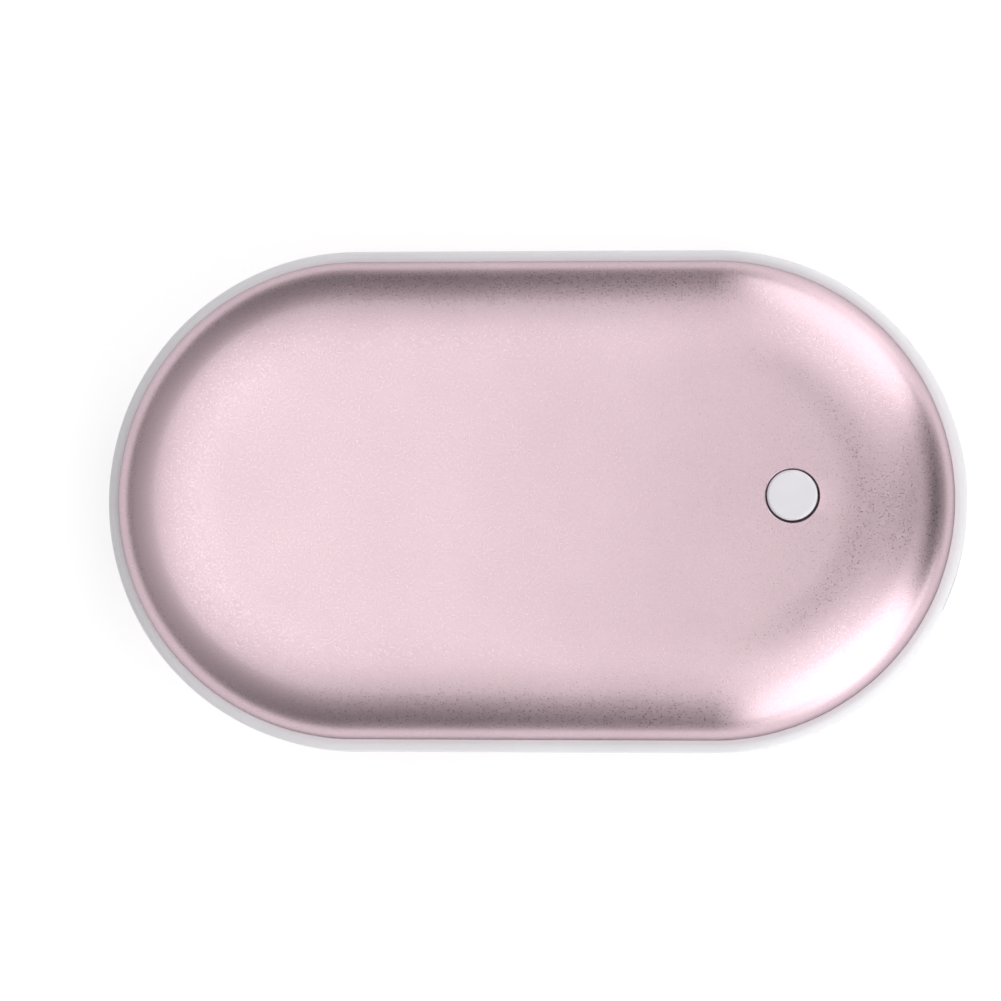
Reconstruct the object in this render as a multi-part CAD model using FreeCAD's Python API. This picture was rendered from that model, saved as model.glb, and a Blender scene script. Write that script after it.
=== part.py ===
import FreeCAD, Part
import math
import os

# A rechargeable pocket hand warmer. Two pressed aluminium shells are bonded into
# the grooves of a moulded frame. The frame carries a tray with two lithium cells,
# and the tray carries the circuit board. A heater film lies on the inside of each
# shell. +X is the end with the button and the sockets, +Z is up, and the origin is
# on the surface that the body rests on, under its middle. Sizes are in millimetres.

Vector = FreeCAD.Vector
UP = Vector(0, 0, 1)
ALONG = Vector(1, 0, 0)
ACROSS = Vector(0, 1, 0)
SIDES = (1, -1)

# Body
body_length = 102.0
body_width = 59.5
body_thickness = 24.0
band_height = 8.6
ledge_width = 1.5
cut_overrun = 2.0

# Pressed shells
shell_wall = 0.8
shell_lip_height = 0.35
shell_flat_half_width = 15.0
shell_crown_radius = 40.0

# Moulded frame
groove_depth = 0.9
groove_clearance = 0.1
adhesive_thickness = 0.2
spigot_wall = 1.05
spigot_rise = 1.2
spigot_chamfer = 0.4
band_corner_radius = 0.9
band_crown = 0.1
boss_radius = 1.8
boss_inset = 1.7
boss_height = 3.6
boss_end_gap = 4.25
port_clearance = 0.15
port_corner_radius = 0.3

# Button
button_inset = 20.2
button_radius = 2.95
button_proud = 0.45
button_crown_rise = 0.12
button_edge_radius = 0.4
button_hole_gap = 0.25
button_travel = 0.4
button_flange_radius = 3.7
button_flange_thickness = 0.8
button_stem_radius = 1.5
button_stem_length = 0.75
button_play = 0.05
collar_radius = 5.4
collar_guide_length = 1.15
collar_bore_clearance = 0.1

# Tactile switch under the button
switch_size = 6.0
switch_cover_thickness = 0.3
switch_corner_radius = 0.5
switch_cavity_radius = 2.1
switch_cavity_share = 0.53
switch_clearance = 0.1
dome_rise_share = 0.3
dome_thickness = 0.1
plunger_radius = 1.7
plunger_proud = 0.85
plunger_flange_share = 0.24
plunger_foot_radius = 1.2
switch_leg_width = 0.7
switch_leg_length = 1.1
switch_leg_thickness = 0.3
switch_leg_spacing = 4.5

# Circuit board
board_thickness = 1.2
board_edge_gap = 1.0
board_back_margin = 1.4
board_screw_y = 18.5
board_screw_hole_gap = 0.2
solder_gap = 0.05

# USB output socket
usb_width = 13.1
usb_height = 5.7
usb_depth = 14.0
usb_wall = 0.3
usb_y = -6.0
usb_front_inset = 0.2
usb_block_depth = 4.0
usb_tongue_width = 11.0
usb_tongue_thickness = 1.85
usb_tongue_recess = 1.5
usb_tongue_gap = 0.68
usb_contact_width = 1.0
usb_contact_thickness = 0.25
usb_contact_setback = 0.8
usb_contact_inner_pitch = 2.0
usb_contact_outer_pitch = 7.0
usb_leg_width = 2.0
usb_leg_setbacks = (6.6, 11.2)
leg_slot_gap = 0.15

# Charging socket
charge_width = 7.5
charge_height = 2.6
charge_depth = 5.5
charge_wall = 0.3
charge_chamfer = 0.9
charge_y = 6.3
charge_front_inset = 0.35
charge_block_depth = 1.2
charge_tongue_width = 3.9
charge_tongue_thickness = 0.6
charge_tongue_recess = 0.7
charge_tongue_gap = 0.45
charge_contact_count = 5
charge_contact_pitch = 0.65
charge_contact_width = 0.3
charge_contact_thickness = 0.12

# Charge indicator
led_count = 4
led_pitch = 2.6
led_width = 1.6
led_depth = 1.0
led_height = 0.8
led_gap = 0.3
light_pipe_thickness = 1.1
light_pipe_top_gap = 0.35
light_pipe_height = 1.6
light_pipe_wall_gap = 0.2
light_pipe_end_length = 1.6
light_pipe_port_gap = 1.3
pip_radius = 0.65
pip_clearance = 0.05
pip_recess = 0.1

# Parts soldered on the board
chip_width = 3.9
chip_height = 1.4
chip_standoff = 0.15
chip_chamfer = 0.25
chip_leg_pitch = 1.27
chip_leg_width = 0.42
chip_leg_reach = 1.0
chip_leg_thickness = 0.22
control_chip_legs = 8
charger_chip_legs = 4
control_chip_y = 11.5
control_chip_setback = 9.8
charger_chip_setback = 12.5
inductor_size = 6.0
inductor_height = 3.0
inductor_corner_radius = 1.2
inductor_core_radius = 2.1
inductor_core_recess = 0.3
inductor_y = 4.6
inductor_setback = 12.5
capacitor_length = 2.0
capacitor_width = 1.25
capacitor_height = 1.0
capacitor_pitch = 2.6
capacitor_count = 5
capacitor_setback = 17.4

# Heater films and what keeps their heat off the cells
film_thickness = 0.25
film_margin = 0.8
film_corner_radius = 2.0
film_collar_gap = 1.0
trace_thickness = 0.1
trace_width = 1.8
trace_pitch = 3.2
trace_legs = 8
trace_left_reach = 2.75
trace_end_gap = 4.0
trace_terminal_gap = 1.0
insulation_thickness = 1.35
insulation_margin = 1.6
insulation_end_gap = 4.5

# Cells
cell_clearance = 0.3
cell_gap = 0.2
cell_corner_gap = 0.32
cell_board_gap = 0.9
cell_nub_radius = 3.2
cell_nub_height = 0.8
cell_edge_radius = 0.6
cell_bead_depth = 0.5
cell_bead_width = 1.4
cell_bead_setback = 2.6
washer_thickness = 0.2
washer_hole_gap = 0.4
washer_edge_gap = 0.9
strip_thickness = 0.15
strip_height = 7.0
strip_end_reach = 4.2
tab_width = 4.0
tab_y = -7.0
tab_reach = 2.6

# Cell tray
tray_wall = 0.9
tray_cell_clearance = 0.15
tray_floor_clearance = 0.5
tray_wall_gap = 0.3
tray_flange_thickness = 1.2
tray_tab_width = 5.0
tray_arm_inner_y = 14.5
tray_arm_outer_y = 21.5
tray_arm_reach = 3.0
post_radius = 2.2

# Screws
screw_radius = 0.85
screw_head_radius = 1.35
screw_head_height = 1.1
screw_head_edge = 0.35
screw_hole_gap = 0.03
screw_slot_width = 0.4
screw_slot_depth = 0.5
tray_screw_length = 4.0
board_screw_length = 5.0

# Wiring
lead_radius = 0.6
lead_bend_radius = 1.8
lead_gap = 0.05
heater_lead_landing = 2.4
thermistor_radius = 0.8
thermistor_length = 2.2
thermistor_y = 6.5
thermistor_lead_radius = 0.25
thermistor_lead_spacing = 1.0
thermistor_lead_bend = 1.0

# Places that follow from the sizes above
outer_radius = body_width / 2
end_centre_x = body_length / 2 - outer_radius
mid_z = body_thickness / 2
band_top = mid_z + band_height / 2
rim_radius = outer_radius - ledge_width
rim_inner_radius = rim_radius - shell_wall
spigot_radius = rim_inner_radius - groove_clearance
frame_inner_radius = spigot_radius - spigot_wall
groove_outer_radius = rim_radius + groove_clearance
groove_floor = band_top - groove_depth
shell_inner_top = body_thickness - shell_wall
button_x = body_length / 2 - button_inset
button_hole_radius = button_radius + button_hole_gap

board_bottom = mid_z + usb_height / 2
board_top = board_bottom + board_thickness
board_radius = frame_inner_radius - board_edge_gap
board_back_x = button_x - switch_size / 2 - board_back_margin
board_screw_x = button_x

cell_radius = (
    mid_z - shell_wall - film_thickness - trace_thickness - insulation_thickness - cell_clearance
)
cell_y = cell_radius + cell_gap / 2
cell_outer_y = cell_y + cell_radius
cell_right_x = board_back_x - cell_board_gap
cell_left_x = -end_centre_x - math.sqrt((frame_inner_radius - cell_corner_gap) ** 2 - cell_outer_y ** 2)
cell_shoulder_x = cell_right_x - cell_nub_height

film_radius = shell_flat_half_width - film_margin
film_end_x = button_x - collar_radius - film_collar_gap
film_top_z = shell_inner_top
trace_top_z = film_top_z - film_thickness
insulation_top_z = trace_top_z - trace_thickness
insulation_radius = shell_flat_half_width - insulation_margin
insulation_end_x = film_end_x - insulation_end_gap
trace_outer_y = trace_pitch * (trace_legs - 1) / 2

tray_inner_radius = cell_radius + tray_cell_clearance
tray_outer_radius = tray_inner_radius + tray_wall
tray_flange_z = mid_z - tray_flange_thickness
tray_floor_z = mid_z - cell_radius + tray_floor_clearance
tray_limit_radius = frame_inner_radius - tray_wall_gap
boss_y = frame_inner_radius - boss_inset
boss_x = end_centre_x - boss_end_gap
boss_places = [(sx * boss_x, sy * boss_y) for sx in SIDES for sy in SIDES]
board_screw_places = [(board_screw_x, sy * board_screw_y) for sy in SIDES]


def outer_x(y):
    """How far out the frame's side lies, at the button end, at a distance y from the middle."""
    return end_centre_x + math.sqrt(outer_radius ** 2 - y ** 2)


usb_front_x = outer_x(abs(usb_y) + usb_width / 2) - usb_front_inset
usb_back_x = usb_front_x - usb_depth
usb_roof_z = board_bottom - usb_wall
usb_tongue_top = usb_roof_z - usb_tongue_gap
usb_tongue_bottom = usb_tongue_top - usb_tongue_thickness
charge_front_x = outer_x(charge_y + charge_width / 2) - charge_front_inset
charge_back_x = charge_front_x - charge_depth
charge_mid_z = board_bottom - charge_height / 2
light_pipe_outer_radius = frame_inner_radius - light_pipe_wall_gap
light_pipe_inner_radius = light_pipe_outer_radius - light_pipe_thickness
light_pipe_first_y = charge_y + charge_width / 2 + light_pipe_port_gap
light_pipe_first_angle = math.degrees(math.asin(light_pipe_first_y / light_pipe_inner_radius))
light_pipe_end_angle = math.degrees(light_pipe_end_length / outer_radius)
led_angle_pitch = math.degrees(led_pitch / outer_radius)
led_first_angle = light_pipe_first_angle + light_pipe_end_angle
led_angles = [led_first_angle + i * led_angle_pitch for i in range(led_count)]
led_radius = light_pipe_inner_radius - led_gap - led_depth
light_pipe_top = board_bottom - light_pipe_top_gap
pip_z = light_pipe_top - light_pipe_height / 2


# Basic shapes

def line(a, b):
    return Part.LineSegment(a, b).toShape()


def arc(a, through, b):
    return Part.Arc(a, through, b).toShape()


def point_on(centre, radius, angle):
    """A point on a circle that stands in the XZ plane."""
    turn = math.radians(angle)
    return Vector(centre.x + radius * math.cos(turn), 0, centre.z + radius * math.sin(turn))


def upright_arc(centre, radius, first, last):
    """An arc in the XZ plane, between two angles from +X towards +Z."""
    ends = [point_on(centre, radius, angle) for angle in (first, (first + last) / 2, last)]
    return arc(*ends)


def one_solid(shape):
    return shape.removeSplitter().Solids[0]


def fused(shapes):
    return one_solid(shapes[0].multiFuse(shapes[1:]))


def chain(points):
    return [line(a, b) for a, b in zip(points, points[1:])]


def polygon_face(points):
    return Part.Face(Part.Wire(chain(points + points[:1])))


def box(low, high):
    size = high - low
    return Part.makeBox(size.x, size.y, size.z, low)


def rod(start, radius, length, direction=UP):
    return Part.makeCylinder(radius, length, start, direction)


def turned(points, axis_point, direction=UP):
    """A solid of revolution. Its outline is closed by the straight line between its ends."""
    face = polygon_face(points)
    return face.revolve(axis_point, direction, 360)


def stadium_sweep(edges):
    """Carries a section round the body. The section lies in the XZ plane, where x is the distance
    from the line that joins the centres of the two round ends."""
    section = Part.Face(Part.Wire(edges))
    pieces = []
    for side in SIDES:
        end = Vector(side * end_centre_x, 0, 0)
        start = section.copy()
        start.rotate(Vector(), UP, -90 * side)
        start.translate(end)
        pieces.append(start.revolve(end, UP, 180))
        pieces.append(start.extrude(ALONG * (-2 * side * end_centre_x)))
    return fused(pieces)


def stadium_block(radius, bottom, top):
    corners = [Vector(0, 0, bottom), Vector(radius, 0, bottom), Vector(radius, 0, top), Vector(0, 0, top)]
    return stadium_sweep(chain(corners + corners[:1]))


def rounded_outline(low, high, corner, to_point):
    """A rectangle with round corners. to_point turns its two coordinates into a point in space."""
    edges = []
    centres = [(high[0], high[1], 0), (low[0], high[1], 90), (low[0], low[1], 180), (high[0], low[1], 270)]
    points = []
    for u, v, first in centres:
        inward_u = -corner if u == high[0] else corner
        inward_v = -corner if v == high[1] else corner
        for angle in (first, first + 45, first + 90):
            turn = math.radians(angle)
            points.append(
                to_point(u + inward_u + corner * math.cos(turn), v + inward_v + corner * math.sin(turn))
            )
    for i in range(0, len(points), 3):
        edges.append(arc(*points[i:i + 3]))
        edges.append(line(points[i + 2], points[(i + 3) % len(points)]))
    return Part.Face(Part.Wire(edges))


def bar_along_x(start_x, end_x, low, high, corner):
    """A bar with round edges. low and high are its corners as (y, z)."""
    face = rounded_outline(low, high, corner, lambda y, z: Vector(start_x, y, z))
    return face.extrude(ALONG * (end_x - start_x))


def upright_block(low, high, corner):
    """A block whose upright edges are round."""
    face = rounded_outline((low.x, low.y), (high.x, high.y), corner, lambda x, y: Vector(x, y, low.z))
    return face.extrude(UP * (high.z - low.z))


def lead(start, bend, end, radius, bend_radius):
    """A wire that runs straight, turns once through a right angle and runs on straight."""
    way_in = (bend - start).normalize()
    way_out = (end - bend).normalize()
    first = bend - way_in * bend_radius
    last = bend + way_out * bend_radius
    centre = first + way_out * bend_radius
    middle = centre + (bend - centre).normalize() * bend_radius
    path = Part.Wire([line(start, first), arc(first, middle, last), line(last, end)])
    rim = Part.Wire(Part.Circle(start, way_in, radius).toShape())
    return path.makePipeShell([rim], True, False)


def flipped(shape):
    """The same piece on the other face of the body."""
    return shape.mirror(Vector(0, 0, mid_z), UP)


def group(shapes):
    return Part.makeCompound(shapes)


# Shells, frame and what bonds them

def shell_section():
    """The pressed section: a flat, a crown, a shoulder and a short straight lip, all tangent."""
    height = body_thickness - band_top
    reach = rim_radius - shell_flat_half_width
    rise = shell_crown_radius - (height - shell_lip_height)
    shoulder = (shell_crown_radius ** 2 - reach ** 2 - rise ** 2) / (2 * (shell_crown_radius - reach))
    crown_centre = Vector(shell_flat_half_width, 0, body_thickness - shell_crown_radius)
    shoulder_centre = Vector(rim_radius - shoulder, 0, band_top + shell_lip_height)
    across = shoulder_centre - crown_centre
    meeting_angle = math.degrees(math.atan2(across.z, across.x))
    rim_z = groove_floor + adhesive_thickness
    curves = []
    for inset in (0, shell_wall):
        crown = upright_arc(crown_centre, shell_crown_radius - inset, 90, meeting_angle)
        bend = upright_arc(shoulder_centre, shoulder - inset, meeting_angle, 0)
        flat_z = body_thickness - inset
        flat = line(Vector(0, 0, flat_z), Vector(shell_flat_half_width, 0, flat_z))
        lip_x = rim_radius - inset
        lip = line(Vector(lip_x, 0, shoulder_centre.z), Vector(lip_x, 0, rim_z))
        curves.append([flat, crown, bend, lip])
    outside, inside = curves
    rim = line(Vector(rim_radius, 0, rim_z), Vector(rim_inner_radius, 0, rim_z))
    middle = line(Vector(0, 0, shell_inner_top), Vector(0, 0, body_thickness))
    return outside + [rim] + inside[::-1] + [middle]


def plain_shell():
    return stadium_sweep(shell_section())


def top_shell():
    hole = rod(Vector(button_x, 0, mid_z), button_hole_radius, body_thickness)
    return one_solid(plain_shell().cut(hole))


def bottom_shell():
    return flipped(plain_shell())


def frame_section():
    """The ring's section. Each half has a spigot inside the shell, a groove for the shell's rim,
    a ledge, a round corner and half of the crowned side."""
    half = band_height / 2
    corner_depth = band_corner_radius + band_crown
    corner_height = half - band_corner_radius
    side_radius = (corner_depth ** 2 + corner_height ** 2 - band_corner_radius ** 2) / (2 * band_crown)
    side_centre = Vector(outer_radius - side_radius, 0, mid_z)
    spigot_top = band_top + spigot_rise
    edges = []
    for up in SIDES:
        def at(x, height):
            return Vector(x, 0, mid_z + up * (height - mid_z))

        corner = at(outer_radius - corner_depth, band_top - band_corner_radius)
        lean = math.degrees(math.atan2(corner.z - side_centre.z, corner.x - side_centre.x))
        edges += chain([
            at(frame_inner_radius, mid_z),
            at(frame_inner_radius, spigot_top),
            at(spigot_radius - spigot_chamfer, spigot_top),
            at(spigot_radius, spigot_top - spigot_chamfer),
            at(spigot_radius, groove_floor),
            at(groove_outer_radius, groove_floor),
            at(groove_outer_radius, band_top),
            at(corner.x, band_top),
        ])
        edges.append(upright_arc(corner, band_corner_radius, 90 * up, lean))
        edges.append(upright_arc(side_centre, side_radius, lean, 0))
    return Part.__sortEdges__(edges)


def socket_cut(centre_y, centre_z, width, height):
    half_width = width / 2 + port_clearance
    half_height = height / 2 + port_clearance
    low = (centre_y - half_width, centre_z - half_height)
    high = (centre_y + half_width, centre_z + half_height)
    return bar_along_x(end_centre_x, body_length / 2 + cut_overrun, low, high, port_corner_radius)


def along_angle(radius, angle, height):
    turn = math.radians(angle)
    return Vector(end_centre_x + radius * math.cos(turn), radius * math.sin(turn), height)


def pip(angle, first_radius, last_radius, radius):
    """A round pin that points out of the round end."""
    start = along_angle(first_radius, angle, pip_z)
    way = along_angle(last_radius, angle, pip_z) - start
    return rod(start, radius, way.Length, way)


def mid_frame():
    ring = stadium_sweep(frame_section())
    boss_bottom = tray_flange_z - boss_height
    bosses = []
    for x, y in boss_places:
        wall_y = math.copysign(frame_inner_radius + spigot_wall / 2, y)
        web_low = Vector(x - boss_radius, min(y, wall_y), boss_bottom)
        web_high = Vector(x + boss_radius, max(y, wall_y), tray_flange_z)
        bosses.append(rod(Vector(x, y, boss_bottom), boss_radius, boss_height))
        bosses.append(box(web_low, web_high))
    body = fused([ring] + bosses)
    pilot_z = boss_bottom - cut_overrun
    pilot_length = boss_height + 2 * cut_overrun
    pilots = [rod(Vector(x, y, pilot_z), screw_radius + screw_hole_gap, pilot_length) for x, y in boss_places]
    ports = [
        socket_cut(usb_y, mid_z, usb_width, usb_height),
        socket_cut(charge_y, charge_mid_z, charge_width, charge_height),
    ]
    inside = frame_inner_radius - cut_overrun
    outside = outer_radius + cut_overrun
    lights = [pip(angle, inside, outside, pip_radius + pip_clearance) for angle in led_angles]
    return one_solid(body.cut(group(pilots + ports + lights)))


def shell_adhesive():
    """The bead of glue between the shell's rim and the floor of its groove."""
    top = groove_floor + adhesive_thickness
    corners = [
        Vector(rim_inner_radius, 0, groove_floor),
        Vector(rim_radius, 0, groove_floor),
        Vector(rim_radius, 0, top),
        Vector(rim_inner_radius, 0, top),
    ]
    return stadium_sweep(chain(corners + corners[:1]))


# Button and switch

button_flange_top = shell_inner_top - collar_guide_length - button_play
button_flange_bottom = button_flange_top - button_flange_thickness
button_stem_bottom = button_flange_bottom - button_stem_length
collar_bottom = button_flange_bottom - button_travel


def power_button():
    """A cap with a shallow crown, a flange that keeps it in and a stem that meets the switch."""
    top = body_thickness + button_proud
    edge_z = top - button_crown_rise
    edge_x = button_radius - button_edge_radius
    corner = Vector(edge_x, 0, edge_z - button_edge_radius)
    crown = arc(
        Vector(0, 0, top),
        Vector(edge_x / 2, 0, top - button_crown_rise / 4),
        Vector(edge_x, 0, edge_z),
    )
    edges = [crown, upright_arc(corner, button_edge_radius, 90, 0)]
    edges += chain([
        Vector(button_radius, 0, corner.z),
        Vector(button_radius, 0, button_flange_top),
        Vector(button_flange_radius, 0, button_flange_top),
        Vector(button_flange_radius, 0, button_flange_bottom),
        Vector(button_stem_radius, 0, button_flange_bottom),
        Vector(button_stem_radius, 0, button_stem_bottom),
        Vector(0, 0, button_stem_bottom),
        Vector(0, 0, top),
    ])
    cap = Part.Face(Part.Wire(edges)).revolve(Vector(), UP, 360)
    cap.translate(ALONG * button_x)
    return cap


def button_collar():
    """The guide that is bonded under the shell, round the button's hole."""
    guide_radius = button_radius + collar_bore_clearance
    pocket_radius = button_flange_radius + collar_bore_clearance
    guide_z = shell_inner_top - collar_guide_length
    ring = turned([
        Vector(guide_radius, 0, shell_inner_top),
        Vector(collar_radius, 0, shell_inner_top),
        Vector(collar_radius, 0, collar_bottom),
        Vector(pocket_radius, 0, collar_bottom),
        Vector(pocket_radius, 0, guide_z),
        Vector(guide_radius, 0, guide_z),
    ], Vector())
    ring.translate(ALONG * button_x)
    return one_solid(ring.cut(plain_shell()))


switch_half = switch_size / 2
plunger_top = button_stem_bottom - button_play
switch_cover_top = plunger_top - plunger_proud
switch_base_top = switch_cover_top - switch_cover_thickness
switch_cavity_depth = switch_cavity_share * (switch_base_top - board_top)
switch_cavity_floor = switch_base_top - switch_cavity_depth
dome_rise = dome_rise_share * switch_cavity_depth
plunger_flange_thickness = plunger_flange_share * switch_cavity_depth
dome_radius = switch_cavity_radius - switch_clearance


def switch_footprint(bottom, top):
    low = Vector(button_x - switch_half, -switch_half, bottom)
    high = Vector(button_x + switch_half, switch_half, top)
    return upright_block(low, high, switch_corner_radius)


def switch_base():
    cavity_depth = switch_cavity_depth + cut_overrun
    cavity = rod(Vector(button_x, 0, switch_cavity_floor), switch_cavity_radius, cavity_depth)
    body = switch_footprint(board_top, switch_base_top).cut(cavity)
    legs = []
    for side_x in SIDES:
        for side_y in SIDES:
            inner_x = button_x + side_x * (switch_half - switch_corner_radius)
            tip_x = button_x + side_x * (switch_half + switch_leg_length)
            middle_y = side_y * switch_leg_spacing / 2
            leg_top = board_top + switch_leg_thickness
            low = Vector(min(inner_x, tip_x), middle_y - switch_leg_width / 2, board_top)
            high = Vector(max(inner_x, tip_x), middle_y + switch_leg_width / 2, leg_top)
            legs.append(box(low, high))
    return fused([body] + legs)


def switch_cover():
    hole = rod(Vector(button_x, 0, board_top), plunger_radius + switch_clearance, body_thickness)
    return one_solid(switch_footprint(switch_base_top, switch_cover_top).cut(hole))


def switch_plunger():
    foot_z = switch_cavity_floor + dome_rise + button_play
    flange_top = switch_base_top - button_play
    flange_bottom = flange_top - plunger_flange_thickness
    shape = turned([
        Vector(0, 0, foot_z),
        Vector(plunger_foot_radius, 0, foot_z),
        Vector(plunger_foot_radius, 0, flange_bottom),
        Vector(dome_radius, 0, flange_bottom),
        Vector(dome_radius, 0, flange_top),
        Vector(plunger_radius, 0, flange_top),
        Vector(plunger_radius, 0, plunger_top),
        Vector(0, 0, plunger_top),
    ], Vector())
    shape.translate(ALONG * button_x)
    return shape


def switch_dome():
    """The sprung steel dome that clicks and lifts the plunger again."""
    outer = (dome_radius ** 2 + dome_rise ** 2) / (2 * dome_rise)
    centre = Vector(button_x, 0, switch_cavity_floor + dome_rise - outer)
    ball = Part.makeSphere(outer, centre).cut(Part.makeSphere(outer - dome_thickness, centre))
    room = rod(Vector(button_x, 0, switch_cavity_floor), switch_cavity_radius, switch_cavity_depth)
    return one_solid(ball.common(room))


# Circuit board and sockets

def main_board():
    disc = rod(Vector(end_centre_x, 0, board_bottom), board_radius, board_thickness)
    front = Vector(body_length, body_width, board_top)
    plate = disc.common(box(Vector(board_back_x, -body_width, board_bottom), front))
    drill_z = board_bottom - cut_overrun
    drill_length = board_thickness + 2 * cut_overrun
    drill_radius = screw_radius + board_screw_hole_gap
    cuts = [rod(Vector(x, y, drill_z), drill_radius, drill_length) for x, y in board_screw_places]
    cuts += [leg_box(place, leg_slot_gap) for place in usb_leg_places()]
    return one_solid(plate.cut(group(cuts)))


def usb_leg_places():
    return [(usb_front_x - setback, side) for setback in usb_leg_setbacks for side in SIDES]


def leg_box(place, gap):
    """One of the socket's solder legs, or with a gap its slot in the board."""
    x, side = place
    outer_y = usb_y + side * usb_width / 2
    inner_y = outer_y - side * usb_wall
    low = Vector(x - usb_leg_width / 2 - gap, min(outer_y, inner_y) - gap, board_bottom - usb_wall - gap)
    high = Vector(x + usb_leg_width / 2 + gap, max(outer_y, inner_y) + gap, board_top + gap)
    return box(low, high)


def usb_output_shell():
    half_width = usb_width / 2
    half_height = usb_height / 2
    outside = box(
        Vector(usb_back_x, usb_y - half_width, mid_z - half_height),
        Vector(usb_front_x, usb_y + half_width, mid_z + half_height),
    )
    inside = box(
        Vector(usb_back_x + usb_wall, usb_y - half_width + usb_wall, mid_z - half_height + usb_wall),
        Vector(usb_front_x + cut_overrun, usb_y + half_width - usb_wall, mid_z + half_height - usb_wall),
    )
    legs = [leg_box(place, 0) for place in usb_leg_places()]
    return fused([outside.cut(inside)] + legs)


def usb_output_tongue():
    """The insulator: a block at the back of the socket, and the tongue that the plug slides over."""
    block_x = usb_back_x + usb_wall
    half_width = usb_width / 2 - usb_wall
    half_tongue = usb_tongue_width / 2
    block_end_x = block_x + usb_block_depth
    block = box(
        Vector(block_x, usb_y - half_width, mid_z - usb_height / 2 + usb_wall),
        Vector(block_end_x, usb_y + half_width, usb_roof_z),
    )
    tongue = box(
        Vector(block_x, usb_y - half_tongue, usb_tongue_bottom),
        Vector(usb_front_x - usb_tongue_recess, usb_y + half_tongue, usb_tongue_top),
    )
    return fused([block, tongue])


def usb_output_contacts():
    start_x = usb_back_x + usb_wall + usb_block_depth
    end_x = usb_front_x - usb_tongue_recess - usb_contact_setback
    bottom = usb_tongue_bottom - usb_contact_thickness
    strips = []
    for pitch in (usb_contact_inner_pitch, usb_contact_outer_pitch):
        for side in SIDES:
            middle = usb_y + side * pitch / 2
            low = Vector(start_x, middle - usb_contact_width / 2, bottom)
            strips.append(box(low, Vector(end_x, middle + usb_contact_width / 2, usb_tongue_bottom)))
    return group(strips)


def charge_port_outline(inset, start_x):
    """The socket's mouth: wide at the board and narrower below, so that a plug goes in one way up."""
    half_width = charge_width / 2 - inset
    top = board_bottom - inset
    bottom = board_bottom - charge_height + inset
    half_bottom = half_width - charge_chamfer
    shoulder = bottom + charge_chamfer
    outline = [
        (half_width, top), (half_width, shoulder), (half_bottom, bottom),
        (-half_bottom, bottom), (-half_width, shoulder), (-half_width, top),
    ]
    return polygon_face([Vector(start_x, charge_y + y, z) for y, z in outline])


def charge_port_shell():
    outside = charge_port_outline(0, charge_back_x).extrude(ALONG * charge_depth)
    room = charge_port_outline(charge_wall, charge_back_x + charge_wall)
    return one_solid(outside.cut(room.extrude(ALONG * (charge_depth + cut_overrun))))


def charge_port_tongue():
    block_x = charge_back_x + charge_wall
    block = charge_port_outline(charge_wall, block_x).extrude(ALONG * charge_block_depth)
    half = charge_tongue_width / 2
    top = board_bottom - charge_wall - charge_tongue_gap
    tongue = box(
        Vector(block_x, charge_y - half, top - charge_tongue_thickness),
        Vector(charge_front_x - charge_tongue_recess, charge_y + half, top),
    )
    return fused([block, tongue])


def charge_port_contacts():
    start_x = charge_back_x + charge_wall + charge_block_depth
    end_x = charge_front_x - 2 * charge_tongue_recess
    top = board_bottom - charge_wall - charge_tongue_gap - charge_tongue_thickness
    first = charge_y - charge_contact_pitch * (charge_contact_count - 1) / 2
    strips = []
    for i in range(charge_contact_count):
        middle = first + i * charge_contact_pitch
        low = Vector(start_x, middle - charge_contact_width / 2, top - charge_contact_thickness)
        strips.append(box(low, Vector(end_x, middle + charge_contact_width / 2, top)))
    return group(strips)


def indicator_leds():
    lamps = []
    for angle in led_angles:
        low = Vector(led_radius, -led_width / 2, board_bottom - led_height)
        lamp = box(low, Vector(led_radius + led_depth, led_width / 2, board_bottom))
        lamp.rotate(Vector(), UP, angle)
        lamp.translate(ALONG * end_centre_x)
        lamps.append(lamp)
    return group(lamps)


def light_pipe():
    """A clear bar behind the frame's wall, with one pip for each lamp."""
    bottom = light_pipe_top - light_pipe_height
    section = polygon_face([
        Vector(light_pipe_inner_radius, 0, bottom),
        Vector(light_pipe_outer_radius, 0, bottom),
        Vector(light_pipe_outer_radius, 0, light_pipe_top),
        Vector(light_pipe_inner_radius, 0, light_pipe_top),
    ])
    section.rotate(Vector(), UP, light_pipe_first_angle)
    section.translate(ALONG * end_centre_x)
    sweep = led_angles[-1] + light_pipe_end_angle - light_pipe_first_angle
    bar = section.revolve(Vector(end_centre_x, 0, 0), UP, sweep)
    root = (light_pipe_inner_radius + light_pipe_outer_radius) / 2
    pips = [pip(angle, root, outer_radius - pip_recess, pip_radius) for angle in led_angles]
    return fused([bar] + pips)


def chip(middle, legs_per_side):
    """A small outline package with its gull-wing legs, lying along X."""
    half_length = chip_leg_pitch * legs_per_side / 2
    half_width = chip_width / 2
    bottom = board_top + chip_standoff
    top = bottom + chip_height
    outline = [
        (half_width, bottom), (half_width, top - chip_chamfer), (half_width - chip_chamfer, top),
        (chip_chamfer - half_width, top), (-half_width, top - chip_chamfer), (-half_width, bottom),
    ]
    start_x = middle.x - half_length
    end_face = polygon_face([Vector(start_x, middle.y + y, z) for y, z in outline])
    body = end_face.extrude(ALONG * (2 * half_length))
    leg_top = bottom + chip_leg_thickness
    reach = half_width + chip_leg_reach
    legs = []
    for i in range(legs_per_side):
        x = start_x + (i + 1 / 2) * chip_leg_pitch
        low = Vector(x - chip_leg_width / 2, middle.y - reach, board_top)
        legs.append(box(low, Vector(x + chip_leg_width / 2, middle.y + reach, leg_top)))
    return fused([body] + legs)


def control_chip():
    return chip(Vector(board_back_x + control_chip_setback, control_chip_y, 0), control_chip_legs)


def charger_chip():
    return chip(Vector(board_back_x + charger_chip_setback, usb_y, 0), charger_chip_legs)


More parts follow.
